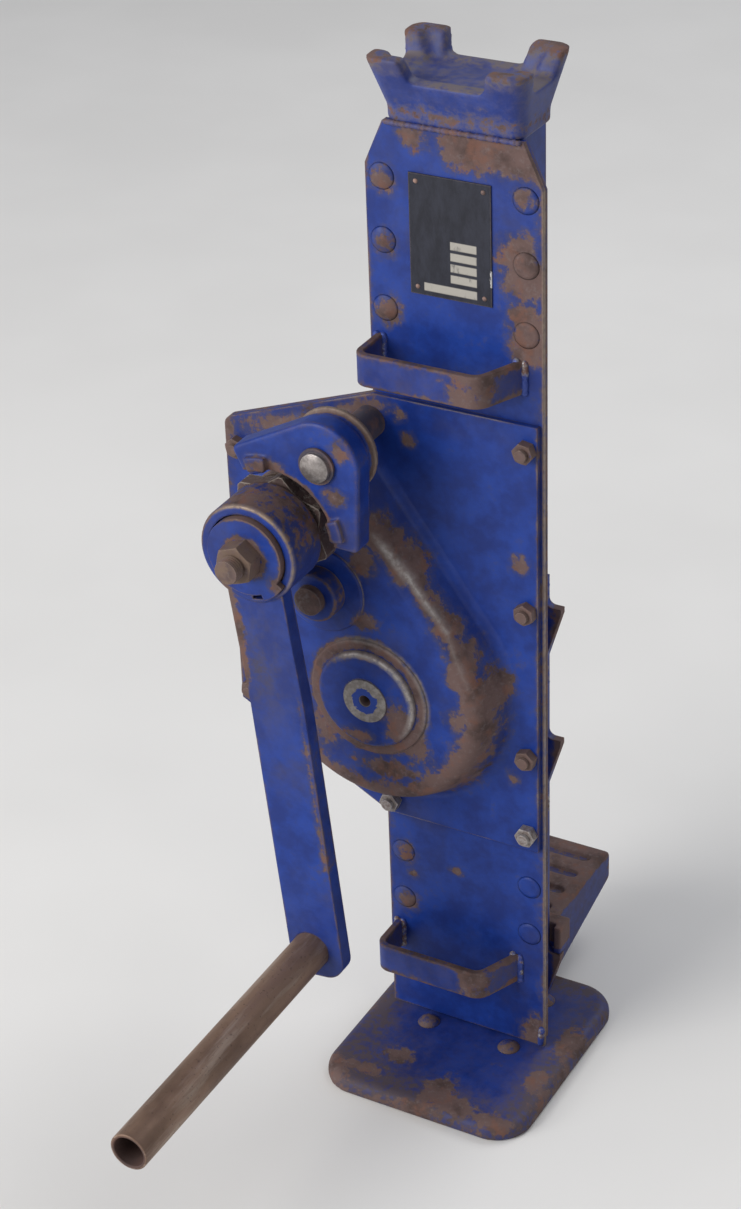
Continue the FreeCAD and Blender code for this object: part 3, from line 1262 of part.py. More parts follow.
PIECES = {
    "foot_plate": foot_plate,
    "foot_rivets": foot_rivets,
    "rack_bar": rack_bar,
    "front_plate": front_plate,
    "rear_casing": rear_casing,
    "ear_plate": ear_plate,
    "gear_case_back": gear_case_back,
    "gear_cover": gear_cover,
    "cover_bolts": cover_bolts,
    "cover_nuts": cover_nuts,
    "column_rivets": column_rivets,
    "rating_plate": rating_plate,
    "rating_plate_rivets": rating_plate_rivets,
    "upper_carry_handle": lambda: carry_handle(UPPER_STRAP_Z, UPPER_STRAP_RIGHT_INSET),
    "lower_carry_handle": lambda: carry_handle(LOWER_STRAP_Z, LOWER_STRAP_RIGHT_INSET),
    "lower_rack_guide": lambda: rack_guide(CASING_BOTTOM + LOWER_GUIDE_RISE),
    "upper_rack_guide": lambda: rack_guide(CASING_BOTTOM + UPPER_GUIDE_RISE),
    "rack_backing_block": rack_backing_block,
    "head_crown": head_crown,
    "lift_bush_front": lift_bush_front,
    "lift_bush_rear": lift_bush_rear,
    "mid_bush_front": mid_bush_front,
    "mid_bush_rear": lambda: rear_bush(MID_X, MID_Z, MID_REAR_JOURNAL),
    "crank_bush_front": crank_bush_front,
    "crank_bush_rear": lambda: rear_bush(CRANK_X, CRANK_Z, CRANK_REAR_JOURNAL),
    "lift_pinion_shaft": lift_pinion_shaft,
    "main_gear": main_gear,
    "main_gear_key": main_gear_key,
    "mid_pinion_shaft": mid_pinion_shaft,
    "mid_gear": mid_gear,
    "mid_gear_key": mid_gear_key,
    "crank_pinion_shaft": crank_pinion_shaft,
    "brake_lining_rear": lambda: brake_lining(RATCHET_REAR),
    "ratchet_wheel": ratchet_wheel,
    "brake_lining_front": lambda: brake_lining(LINING_FRONT),
    "stop_disc": stop_disc,
    "crank_nut": crank_nut,
    "crank_arm": crank_arm,
    "crank_handle_tube": crank_handle_tube,
    "pawl_stud": pawl_stud,
    "rocker_pawl": rocker_pawl,
    "claw": claw,
}

os.makedirs("parts", exist_ok=True)
for name, make in PIECES.items():
    shape = make()
    shape.translate(V(-FOOT_X, -FOOT_Y, 0))
    print(name, shape.isValid(), len(shape.Solids), round(shape.Volume / 1000, 2))
    shape.exportStep("parts/" + name + ".step")
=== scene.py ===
import math

import bmesh
import bpy
from mathutils import Matrix, Vector


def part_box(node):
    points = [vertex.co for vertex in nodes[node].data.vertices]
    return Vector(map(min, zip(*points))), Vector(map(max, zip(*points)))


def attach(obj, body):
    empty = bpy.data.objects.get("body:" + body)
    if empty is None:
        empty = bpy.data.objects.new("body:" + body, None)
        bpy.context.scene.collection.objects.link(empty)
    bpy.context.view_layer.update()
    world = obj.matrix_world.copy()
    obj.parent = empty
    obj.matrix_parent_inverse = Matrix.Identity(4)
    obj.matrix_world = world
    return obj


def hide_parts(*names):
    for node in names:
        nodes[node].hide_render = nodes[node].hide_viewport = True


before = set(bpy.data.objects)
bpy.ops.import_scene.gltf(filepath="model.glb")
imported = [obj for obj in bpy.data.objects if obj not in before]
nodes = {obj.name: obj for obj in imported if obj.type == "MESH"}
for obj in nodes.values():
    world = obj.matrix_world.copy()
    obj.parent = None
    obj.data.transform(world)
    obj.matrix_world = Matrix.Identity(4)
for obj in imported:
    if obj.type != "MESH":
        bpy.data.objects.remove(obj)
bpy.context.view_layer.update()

# Places on the jack, in metres in the row frame
FACE = 0.0055
COVER_FACE = 0.0015
LIFT = (-0.056, 0.297)
MID = (-0.088566, 0.372256)
CRANK = (-0.100528, 0.431051)
PAWL = (-0.065, 0.48703)
TUBE_END = (-0.07024, 0.12756)
TUBE_RADIUS = 0.01345
ARM_REAR = -0.0858
SCREW_END = -0.1248
NUT_FRONT = -0.1158
COVER_BOLTS = ((0.0463, 0.198), (0.0463, 0.260), (0.0463, 0.373), (0.0463, 0.490), (-0.058, 0.195),
               (-0.166, 0.257), (-0.166, 0.447))
COLUMN_RIVETS = ((-0.053, 0.655), (-0.053, 0.613), (-0.053, 0.567), (-0.053, 0.1498), (-0.053, 0.1099))
EAR_SHELVES = (0.245, 0.349)
CASING_SIDES = (-0.0452, 0.0372)
CASING_REAR = 0.0485
UPPER_STRAP_HEIGHT = 0.538
LOWER_STRAP_HEIGHT = 0.078
CRANK_DIAGONAL = CRANK[0] + CRANK[1]
HUB_SIDE = (0.0335, 0.0343)
HUB_FRONT = (0.0955, 0.0970)

# Wear level between which the enamel goes from whole to gone
BARE_FROM = 0.672
BARE_TO = 0.748

# Making of meshes
MERGE_DISTANCE = 1e-6
FORGING_SCALE = (0.9995, 0.9995, 0.9995)
STRAP_WELD = 0.0024
DROP_SPACING = 0.75
DROP_SWELL = 0.16
DROP_CELL = 0.22
THREAD_SEAT = 0.90
THREAD_ROOT = 0.98
THREAD_CREST = 1.06
THREAD_STEPS = 32

# Paint and metal colours
DEEP_BLUE = (0.005, 0.023, 0.170, 1.0)
MID_BLUE = (0.008, 0.042, 0.275, 1.0)
THIN_BLUE = (0.060, 0.052, 0.075, 1.0)
THIN_BROWN = (0.082, 0.059, 0.056, 1.0)
DUSTY_GREY = (0.145, 0.118, 0.112, 1.0)
DARK_RUST = (0.068, 0.042, 0.038, 1.0)
BROWN_RUST = (0.132, 0.083, 0.076, 1.0)
RED_RUST = (0.172, 0.080, 0.056, 1.0)
GREY_RUST = (0.165, 0.130, 0.130, 1.0)
WORN_BEIGE = (0.300, 0.235, 0.185, 1.0)
WORN_STEEL = (0.400, 0.375, 0.360, 1.0)
OILY_STEEL = (0.110, 0.100, 0.095, 1.0)


class Value:
    """A shader socket; an expression on it adds Math nodes."""

    def __init__(self, finish, socket):
        self.finish = finish
        self.socket = socket

    def __add__(self, other):
        return self.finish.maths("ADD", self, other)

    def __radd__(self, other):
        return self.finish.maths("ADD", other, self)

    def __sub__(self, other):
        return self.finish.maths("SUBTRACT", self, other)

    def __rsub__(self, other):
        return self.finish.maths("SUBTRACT", other, self)

    def __mul__(self, other):
        return self.finish.maths("MULTIPLY", self, other)

    def __truediv__(self, other):
        return self.finish.maths("DIVIDE", self, other)

    def size(self):
        return self.finish.maths("ABSOLUTE", self)

    def root(self):
        return self.finish.maths("SQRT", self)

    def at_least(self, other):
        return self.finish.maths("MAXIMUM", self, other)

    def at_most(self, other):
        return self.finish.maths("MINIMUM", self, other)

    def between(self, low, high):
        """0 below low, 1 above high and smooth between them."""
        made = self.finish.node("ShaderNodeMapRange", {"interpolation_type": "SMOOTHSTEP"},
                                {0: self, 1: low, 2: high})
        return Value(self.finish, made.outputs[0])


class Finish:
    """A material while it is being made."""

    def __init__(self, name):
        self.material = bpy.data.materials.new(name)
        self.material.use_nodes = True
        self.tree = self.material.node_tree
        self.tree.nodes.clear()
        self.place = Value(self, self.node("ShaderNodeTexCoord").outputs["Object"])
        split = self.node("ShaderNodeSeparateXYZ", {}, {0: self.place})
        self.x = Value(self, split.outputs[0])
        self.y = Value(self, split.outputs[1])
        self.z = Value(self, split.outputs[2])
        geometry = self.node("ShaderNodeNewGeometry")
        self.normal = Value(self, geometry.outputs["Normal"])

    def node(self, kind, settings=None, inputs=None):
        made = self.tree.nodes.new(kind)
        for key, value in (settings or {}).items():
            setattr(made, key, value)
        for key, value in (inputs or {}).items():
            if isinstance(value, Value):
                self.tree.links.new(value.socket, made.inputs[key])
            else:
                made.inputs[key].default_value = value
        return made

    def maths(self, operation, first, second=None):
        inputs = {0: first}
        if second is not None:
            inputs[1] = second
        return Value(self, self.node("ShaderNodeMath", {"operation": operation}, inputs).outputs[0])

    def vector_maths(self, operation, first, second):
        return self.node("ShaderNodeVectorMath", {"operation": operation}, {0: first, 1: second})

    def blend(self, factor, first, second):
        made = self.node("ShaderNodeMix", {"data_type": "RGBA"}, {0: factor, 6: first, 7: second})
        return Value(self, made.outputs[2])

    def noise(self, scale, detail=4.0, roughness=0.6, stretch=(1.0, 1.0, 1.0), shift=0.0):
        moved = self.node("ShaderNodeMapping", {}, {0: self.place, 1: (shift, shift, shift), 3: stretch})
        made = self.node("ShaderNodeTexNoise", {},
                         {"Vector": Value(self, moved.outputs[0]), "Scale": scale, "Detail": detail,
                          "Roughness": roughness})
        return Value(self, made.outputs[0])

    def edge(self, reach):
        """About 0.3 on a square edge and 0 on the flat."""
        rounded = Value(self, self.node("ShaderNodeBevel", {"samples": 6}, {"Radius": reach}).outputs[0])
        alike = self.vector_maths("DOT_PRODUCT", rounded, self.normal)
        return 1.0 - Value(self, alike.outputs["Value"])

    def upward(self):
        """1 where a surface faces up, 0 where it stands upright."""
        return Value(self, self.vector_maths("DOT_PRODUCT", self.normal, (0.0, 0.0, 1.0)).outputs["Value"])

    def spot(self, centre, reach):
        """1 at the centre of an ellipsoid and 0 from its surface outwards."""
        away = self.vector_maths("SUBTRACT", self.place, centre)
        share = self.vector_maths("DIVIDE", Value(self, away.outputs[0]), reach)
        length = self.node("ShaderNodeVectorMath", {"operation": "LENGTH"},
                           {0: Value(self, share.outputs[0])})
        return (1.0 - Value(self, length.outputs["Value"])).at_least(0.0)

    def radius(self, axis):
        """Distance from a shaft's axis along Y."""
        across = self.x - axis[0]
        up = self.z - axis[1]
        return (across * across + up * up).root()

    def ring(self, axis, radius, width):
        """1 on a circle round a shaft's axis, 0 from the width outwards and inwards."""
        return (1.0 - (self.radius(axis) - radius).size() / width).at_least(0.0)

    def streak(self, start, end, width):
        """1 along a line between two points seen from the front, 0 from the width outwards."""
        run_x = end[0] - start[0]
        run_z = end[1] - start[1]
        length = run_x * run_x + run_z * run_z
        along = ((self.x - start[0]) * (run_x / length) + (self.z - start[1]) * (run_z / length))
        along = along.at_least(0.0).at_most(1.0)
        off_x = self.x - start[0] - along * run_x
        off_z = self.z - start[1] - along * run_z
        return (1.0 - (off_x * off_x + off_z * off_z).root() / width).at_least(0.0)

    def beyond(self, coordinate, start, end):
        """Rises from 0 at start to 1 at end along one coordinate."""
        return ((coordinate - start) / (end - start)).at_least(0.0).at_most(1.0)

    def bump(self, height, depth, rounding=0.0):
        inputs = {"Height": height, "Distance": depth, "Strength": 1.0}
        if rounding > 0.0:
            rounded = self.node("ShaderNodeBevel", {"samples": 4}, {"Radius": rounding})
            inputs["Normal"] = Value(self, rounded.outputs[0])
        return Value(self, self.node("ShaderNodeBump", {}, inputs).outputs[0])

    def surface(self, colour, roughness, metallic, normal=None, specular=0.5):
        inputs = {"Base Color": colour, "Roughness": roughness, "Metallic": metallic,
                  "Specular IOR Level": specular}
        if normal is not None:
            inputs["Normal"] = normal
        shader = self.node("ShaderNodeBsdfPrincipled", {}, inputs)
        output = self.node("ShaderNodeOutputMaterial")
        self.tree.links.new(shader.outputs[0], output.inputs[0])
        return self.material


def rust_colour(finish):
    """Brown rust with soft darker, redder and greyer clouds."""
    broad = finish.noise(48.0, 4.0, 0.6, shift=3.1)
    fine = finish.noise(260.0, 4.0, 0.7, shift=1.7)
    colour = finish.blend(broad.between(0.30, 0.56), DARK_RUST, BROWN_RUST)
    colour = finish.blend(fine.between(0.50, 0.74) * 0.6, colour, GREY_RUST)
    return finish.blend(finish.noise(80.0, 3.0, 0.6, shift=7.7).between(0.50, 0.70) * 0.7, colour, RED_RUST)


def enamel(name, losses=None, bright=None, thinned=None, edge_reach=0.0035, edge_loss=1.0, chips=0.0,
           cloud=0.3, thin_to=THIN_BLUE, rubbed_and_highlight_to=WORN_BEIGE, rub=1.0, rounding=0.0012):
    """Old blue enamel; losses say where it is gone, bright where it is rubbed bright and where a highlight
    is painted, thinned where it is worn thin.
    """
    finish = Finish(name)
    broad = finish.noise(38.0, 6.0, 0.66)
    fine = finish.noise(180.0, 6.0, 0.70, shift=0.7)
    grain = finish.noise(1100.0, 2.0, 0.5)
    stretches = finish.noise(19.0, 3.0, 0.6, shift=8.2).between(0.38, 0.62)
    edge = finish.edge(edge_reach)
    level = broad * 0.5 + fine * 0.5 + edge * (0.25 + stretches * 0.80) * edge_loss + chips
    if losses:
        level = level + losses(finish)
    bare = level.between(BARE_FROM, BARE_TO)
    clouds = finish.noise(15.0, 5.0, 0.7, shift=5.3).between(0.46, 0.74)
    thin = (level.between(0.55, 0.71) * 0.55).at_least(clouds * cloud)
    if thinned:
        mottle = 0.30 + (broad + fine).between(0.80, 1.20) * 0.75
        thin = thin.at_least((thinned(finish) * mottle).at_most(0.9))
    # Rubbed edges, raised by the bright function, which holds rubbed places and painted highlights
    shine = (edge * stretches * rub + fine * 0.5 - 0.25).between(0.16, 0.48) * 0.7
    if bright:
        shine = shine.at_least(bright(finish) * (0.35 + fine.between(0.32, 0.60) * 0.65))
    blue = finish.blend(broad.between(0.34, 0.66), DEEP_BLUE, MID_BLUE)
    colour = finish.blend(thin, blue, thin_to)
    colour = finish.blend(bare, colour, rust_colour(finish))
    colour = finish.blend(shine, colour, rubbed_and_highlight_to)
    roughness = 0.34 + fine * 0.12 + grain * 0.06 + thin * 0.30
    roughness = roughness + (0.80 - roughness) * bare
    roughness = roughness + (0.40 - roughness) * shine
    height = (1.0 - bare) * 0.45 + grain * 0.10 + fine * bare * 0.45
    return finish.surface(colour, roughness, bare * 0.06 + shine * 0.60,
                          finish.bump(height, 0.0005, rounding), 0.34)


def bare_metal(name, base, stain, stain_share, rough, streaks=(1.0, 1.0, 1.0), metallic=0.85):
    """Unpainted steel with stains; streaks stretch its marks along the way it was rubbed."""
    finish = Finish(name)
    marks = finish.noise(70.0, 6.0, 0.68, streaks)
    fine = finish.noise(420.0, 4.0, 0.6, streaks, 2.2)
    edge = finish.edge(0.002)
    shift = stain_share * 0.3
    stained = (marks * 0.6 + fine * 0.4 - edge * 0.8).between(0.62 - shift, 0.74 - shift)
    clean = finish.blend(fine.between(0.35, 0.65), tuple(0.62 * c for c in base[:3]) + (1.0,), base)
    colour = finish.blend(stained, clean, finish.blend(marks.between(0.4, 0.7), stain, rust_colour(finish)))
    roughness = rough + fine * 0.16 + stained * 0.25
    return finish.surface(colour, roughness, metallic - stained * metallic * 0.75,
                          finish.bump(fine * 0.5 + stained * 0.4, 0.0003, 0.0008))


def worn(finish, loss, streaks=(), spots=()):
    """The loss, raised to the strength of each streak or spot where that is more."""
    for start, end, width, strength in streaks:
        loss = loss.at_least(finish.streak(start, end, width) * strength)
    for centre, reach, strength in spots:
        loss = loss.at_least(finish.spot(centre, reach) * strength)
    return loss


def plate_losses(finish):
    """Right edge of the column's front plate, patches near its top, and rings at its rivets."""
    high = finish.beyond(finish.z, 0.46, 0.60)
    loss = finish.beyond(finish.x, 0.044, 0.0565) * (0.14 + high * 0.06)
    loss = worn(finish, loss,
                (((0.000, 0.682), (0.048, 0.679), 0.022, 0.42),
                 ((0.040, 0.618), (0.045, 0.602), 0.026, 0.42),
                 ((0.044, 0.578), (0.047, 0.556), 0.020, 0.42)),
                (((0.043, FACE, 0.657), (0.013, 0.02, 0.013), 0.38),
                 ((0.050, FACE, 0.024), (0.026, 0.03, 0.030), 0.36),
                 ((-0.030, FACE, 0.684), (0.024, 0.02, 0.014), 0.30),
                 ((-0.046, FACE, 0.132), (0.008, 0.02, 0.007), 0.40),
                 ((-0.012, FACE, 0.145), (0.010, 0.02, 0.006), 0.34)))
    loss = loss + finish.beyond(0.0 - finish.x, 0.058, 0.0645) * 0.15
    rivets = [((x + 0.002, FACE, z - 0.002), (0.015, 0.02, 0.017), 0.33) for x, z in COLUMN_RIVETS]
    return worn(finish, loss, spots=rivets)


def plate_bright(finish):
    """Rubbed right side of the front plate."""
    return finish.beyond(finish.x, 0.0550, 0.0562) * 0.80


def cover_losses(finish):
    """Shoulder of the bulge, the ring round the main boss, the wing's top edge and scattered spots."""
    low = finish.beyond(0.0 - finish.z, -0.345, -0.285)
    right = finish.beyond(finish.x, -0.010, 0.020) * finish.beyond(0.0 - finish.z, -0.350, -0.320)
    loss = finish.ring(LIFT, 0.078, 0.019) * low.at_least(right) * 0.42
    loss = loss.at_least(finish.ring(LIFT, 0.0405, 0.0085) * 0.36)
    loss = worn(finish, loss,
                (((-0.054, 0.4265), (-0.028, 0.395), 0.015, 0.40),
                 ((-0.028, 0.395), (-0.003, 0.3635), 0.0085, 0.34),
                 ((-0.003, 0.362), (0.011, 0.341), 0.012, 0.37),
                 ((0.011, 0.345), (0.020, 0.310), 0.014, 0.36)),
                (((-0.056, -0.028, 0.400), (0.016, 0.03, 0.022), 0.40),
                 ((-0.046, -0.028, 0.243), (0.040, 0.03, 0.012), 0.40),
                 ((-0.092, -0.028, 0.262), (0.026, 0.03, 0.034), 0.36)))
    loss = loss + finish.streak((-0.178, 0.456), (-0.060, 0.500), 0.020) * 0.25
    loss = loss + finish.beyond(0.0 - finish.x, 0.166, 0.177) * 0.20
    loss = loss + finish.beyond(finish.x, 0.0505, 0.0545) * 0.15
    for x, y, z, reach in ((0.0337, -0.010, 0.3156, 0.014), (-0.0574, -0.0285, 0.355, 0.013),
                           (0.005, -0.0285, 0.296, 0.012), (-0.0193, -0.0285, 0.263, 0.016),
                           (0.007, -0.0285, 0.328, 0.010), (-0.037, COVER_FACE, 0.479, 0.010),
                           (-0.042, COVER_FACE, 0.495, 0.008), (0.042, COVER_FACE, 0.406, 0.012),
                           (0.036, COVER_FACE, 0.241, 0.011)):
        loss = loss + finish.spot((x, y, z), (reach, 0.02, reach)) * 0.32
    return loss


def cover_painted_highlight(finish):
    """Painted highlight along the bulge's shoulder, brightest high up, and a trace of painted highlight on
    the step.
    """
    ridge = finish.streak((-0.0500, 0.4210), (-0.0254, 0.3915), 0.0042)
    ridge = ridge.at_least(finish.streak((-0.0254, 0.3915), (0.0006, 0.3575), 0.0032) * 0.9)
    ridge = ridge.at_least(finish.streak((0.0006, 0.3575), (0.0180, 0.3200), 0.0030) * 0.6)
    fade = finish.beyond(finish.z, 0.300, 0.390) * (1.0 - finish.beyond(finish.z, 0.410, 0.424))
    step = finish.ring(LIFT, 0.0435, 0.003) * finish.beyond(finish.x + finish.z, 0.250, 0.275) * 0.4
    return (ridge * ridge * fade * 1.3).at_most(1.0).at_least(step)


def boss_losses(finish):
    """Rim of the main boss, worn widest at its upper right, and a patch at its lower right."""
    radius = finish.radius(LIFT)
    near = finish.beyond(0.060 - radius, 0.0, 0.01)
    turned = finish.beyond(finish.x + finish.z, 0.228, 0.262)
    loss = finish.beyond(radius, 0.0275, 0.0350) * near * (0.14 + turned * 0.12)
    loss = worn(finish, loss, spots=(((-0.028, -0.0345, 0.284), (0.022, 0.02, 0.026), 0.42),
                                     ((-0.062, -0.0345, 0.268), (0.022, 0.02, 0.010), 0.40)))
    return loss + finish.ring(MID, 0.0172, 0.003) * 0.24


def boss_painted_highlight(finish):
    """Painted highlight on the rim of the main boss, from its top round to its right side."""
    near = finish.ring(LIFT, 0.0346, 0.0034) * finish.beyond(0.060 - finish.radius(LIFT), 0.0, 0.01)
    return near * finish.beyond(finish.x + finish.z, 0.240, 0.266)


def head_losses(finish):
    """Rusty patches at the neck, a streak at the right corner, and brown horn edges."""
    band = (1.0 - (finish.z - 0.6985).size() / 0.016).at_least(0.0)
    loss = worn(finish, band * 0.17, spots=(((-0.020, -0.010, 0.698), (0.022, 0.02, 0.014), 0.40),
                                            ((0.012, -0.010, 0.694), (0.024, 0.02, 0.012), 0.40),
                                            ((0.046, -0.008, 0.708), (0.012, 0.013, 0.022), 0.42)))
    return loss + finish.beyond(finish.z, 0.722, 0.7345) * 0.20


def head_thinned(finish):
    """Rims and horn tops, and a little of the dish and the right side."""
    rims = finish.upward().between(0.25, 0.75) * (0.60 + finish.beyond(finish.z, 0.7180, 0.7196) * 0.60)
    tops = finish.beyond(finish.z, 0.720, 0.730) * 1.1
    right = finish.beyond(finish.x, 0.026, 0.046) * 0.45
    return rims.at_least(tops).at_least(right).at_least(0.22)


def arm_losses(finish):
    """Rusty top side of the crank hub, its front rim, and the arm's upper left edge."""
    radius = finish.radius(CRANK)
    above = finish.beyond(finish.z, CRANK[1] - 0.022, CRANK[1] + 0.004)
    side = finish.beyond(radius, *HUB_SIDE) * above
    rim = finish.ring(CRANK, 0.0335, 0.0020) * finish.beyond(0.0 - finish.y, *HUB_FRONT) * above
    loss = (side * 0.20).at_least(rim * 0.30)
    loss = loss.at_least(finish.streak((-0.1195, 0.400), (-0.1110, 0.335), 0.013) * 0.36)
    return loss + finish.streak((-0.0700, 0.330), (-0.0560, 0.200), 0.005) * 0.20


def arm_painted_highlight(finish):
    """Painted highlight on the front rim of the crank hub, on its upper right."""
    right = finish.beyond(finish.x + finish.z, CRANK_DIAGONAL - 0.010, CRANK_DIAGONAL + 0.012)
    return finish.ring(CRANK, 0.0334, 0.0018) * finish.beyond(0.0 - finish.y, *HUB_FRONT) * right * 0.85


def arm_thinned(finish):
    """Dusty stretches down the arm and on top of its hub."""
    middle = finish.spot((-0.098, -0.0968, 0.345), (0.040, 0.03, 0.075)) * 0.9
    low = finish.beyond(0.0 - finish.z, -0.190, -0.130) * 0.30
    top = finish.beyond(finish.radius(CRANK), *HUB_SIDE) * finish.beyond(finish.z, 0.41, 0.44)
    return (low + middle).at_least(top * 0.85)


def disc_losses(finish):
    """Brown arc on the stop disc's rim, its tab, and the ring where the nut bears."""
    turned = finish.beyond(finish.x + finish.z, CRANK_DIAGONAL - 0.004, CRANK_DIAGONAL + 0.016)
    loss = finish.ring(CRANK, 0.0268, 0.0032) * turned * 0.32
    loss = loss.at_least(finish.spot((-0.0745, -0.1028, 0.4165), (0.012, 0.01, 0.012)) * 0.44)
    return loss.at_least(finish.ring(CRANK, 0.0140, 0.005) * 0.26)


def foot_losses(finish):
    """Patches on top of the foot plate and along its rim."""
    sides = finish.beyond(finish.x.size(), 0.066, 0.080)
    rim = sides.at_least(finish.beyond(finish.y.size(), 0.074, 0.089))
    loss = (rim * 0.16).at_least(finish.spot((-0.070, -0.078, 0.010), (0.034, 0.034, 0.03)) * 0.26)
    patches = ((-0.031, -0.048, 0.024, 0.016), (-0.048, -0.070, 0.030, 0.012),
               (0.010, -0.068, 0.020, 0.024), (0.030, -0.078, 0.030, 0.014),
               (0.058, -0.080, 0.026, 0.014), (0.069, 0.020, 0.016, 0.036),
               (0.066, -0.030, 0.012, 0.020))
    spots = [((x, y, 0.012), (across, along, 0.02), 0.38) for x, y, across, along in patches]
    return worn(finish, loss, spots=spots) + rim * 0.04


def foot_thinned(finish):
    """Rim of the foot plate, most at its left corner, and a haze over the rest."""
    sides = finish.beyond(finish.x.size(), 0.044, 0.076)
    rim = sides.at_least(finish.beyond(finish.y.size(), 0.050, 0.086))
    return 0.22 + rim * 1.1 + finish.spot((-0.068, -0.076, 0.010), (0.080, 0.080, 0.04)) * 0.9


def strap_losses(finish):
    """Right bend of a carrying handle, and its upper and lower edges."""
    front = finish.beyond(0.0 - finish.y, 0.012, 0.024)
    off = (finish.z - UPPER_STRAP_HEIGHT).size().at_most((finish.z - LOWER_STRAP_HEIGHT).size())
    loss = finish.beyond(finish.x, -0.004, 0.012) * front * 0.22
    loss = loss.at_least(finish.beyond(off, 0.0045, 0.0110) * 0.20)
    return loss + finish.beyond(finish.x, 0.026, 0.040) * 0.10


def strap_thinned(finish):
    """A haze over a carrying handle, more on its inner side."""
    return 0.30 + finish.beyond(finish.y, -0.024, -0.018) * 0.40


def claw_losses(finish):
    """Bare ribs on top of the claw, and its tip."""
    return finish.beyond(finish.z, 0.0655, 0.0692) * 0.30 + finish.beyond(finish.y, 0.150, 0.168) * 0.10


def claw_thinned(finish):
    """A haze over the claw, more where it faces up."""
    return 0.60 + finish.upward().between(0.3, 0.9) * 0.4


def casing_losses(finish):
    """Brown strips down the column's flanges."""
    right = finish.beyond(finish.x, 0.046, 0.0565) * 0.18
    return right + finish.beyond(0.0 - finish.x, 0.056, 0.0645) * 0.14


def ear_losses(finish):
    """Outer sides of the ears."""
    return finish.beyond((finish.x + 0.004).size(), 0.042, 0.049) * 0.26


def pawl_losses(finish):
    """Inner curve of the rocker pawl, spots by its arms' ends, and its rear lip."""
    loss = finish.ring(CRANK, 0.0442, 0.0045) * 0.36
    loss = loss.at_least(finish.beyond(finish.y, -0.0458, -0.0442) * 0.36)
    return worn(finish, loss, spots=(((-0.104, -0.0665, 0.478), (0.024, 0.02, 0.011), 0.38),
                                     ((-0.0488, -0.0665, 0.500), (0.009, 0.01, 0.012), 0.32),
                                     ((-0.0536, -0.0665, 0.4667), (0.014, 0.01, 0.012), 0.38)))


def pawl_bright(finish):
    """Rear lip of the rocker pawl."""
    return finish.beyond(finish.y, -0.0450, -0.0440) * 0.75


def axle_end():
    """Lifting axle's end: a grey ring with blue left inside it and a dark centre."""
    finish = Finish("axle_end_steel")
    radius = finish.radius(LIFT)
    fine = finish.noise(300.0, 4.0, 0.6)
    broad = finish.noise(150.0, 4.0, 0.6, shift=4.0)
    front = finish.beyond(0.0 - finish.y, 0.0350, 0.0354)
    painted = (0.0094 - radius + (broad - 0.5) * 0.010).between(0.0, 0.0006) * front
    hole = (0.0044 - radius).between(0.0, 0.0006)
    steel = finish.blend(fine.between(0.35, 0.7), (0.230, 0.205, 0.185, 1.0), (0.370, 0.345, 0.320, 1.0))
    colour = finish.blend(hole, finish.blend(painted, steel, MID_BLUE), DARK_RUST)
    coated = painted.at_least(hole)
    return finish.surface(colour, 0.44 + fine * 0.16, 0.55 - coated * 0.55,
                          finish.bump(fine * 0.4 + painted * 0.6, 0.0003, 0.0008))


def tube_steel():
    """Bare pipe handle, brown from hands and weather, with streaks along it and a rusty bore."""
    finish = Finish("handle_pipe_steel")
    along = (1.0, 0.10, 1.0)
    streak = finish.noise(120.0, 6.0, 0.65, along)
    cloud = finish.noise(22.0, 4.0, 0.6, (1.0, 0.5, 1.0), 1.0)
    pits = finish.noise(420.0, 3.0, 0.6, shift=2.0)
    inside = (0.0125 - finish.radius(TUBE_END)).between(0.0, 0.0006)
    edge = finish.edge(0.0016)
    brown = finish.blend(cloud.between(0.35, 0.65), (0.155, 0.094, 0.066, 1.0), (0.285, 0.182, 0.128, 1.0))
    grey = finish.blend(streak.between(0.46, 0.70) * 0.85, brown, (0.400, 0.310, 0.250, 1.0))
    colour = finish.blend(pits.between(0.60, 0.72) * 0.6, grey, DARK_RUST)
    colour = finish.blend(edge.between(0.08, 0.20) * 0.8, colour, WORN_STEEL)
    colour = finish.blend(inside, colour, finish.blend(cloud.between(0.3, 0.7), DARK_RUST, RED_RUST))
    roughness = 0.44 + streak * 0.18 + inside * 0.25
    metallic = (0.40 + streak * 0.2) * (1.0 - inside * 0.8)
    return finish.surface(colour, roughness, metallic, finish.bump(streak * 0.4 + pits * 0.4, 0.0004))


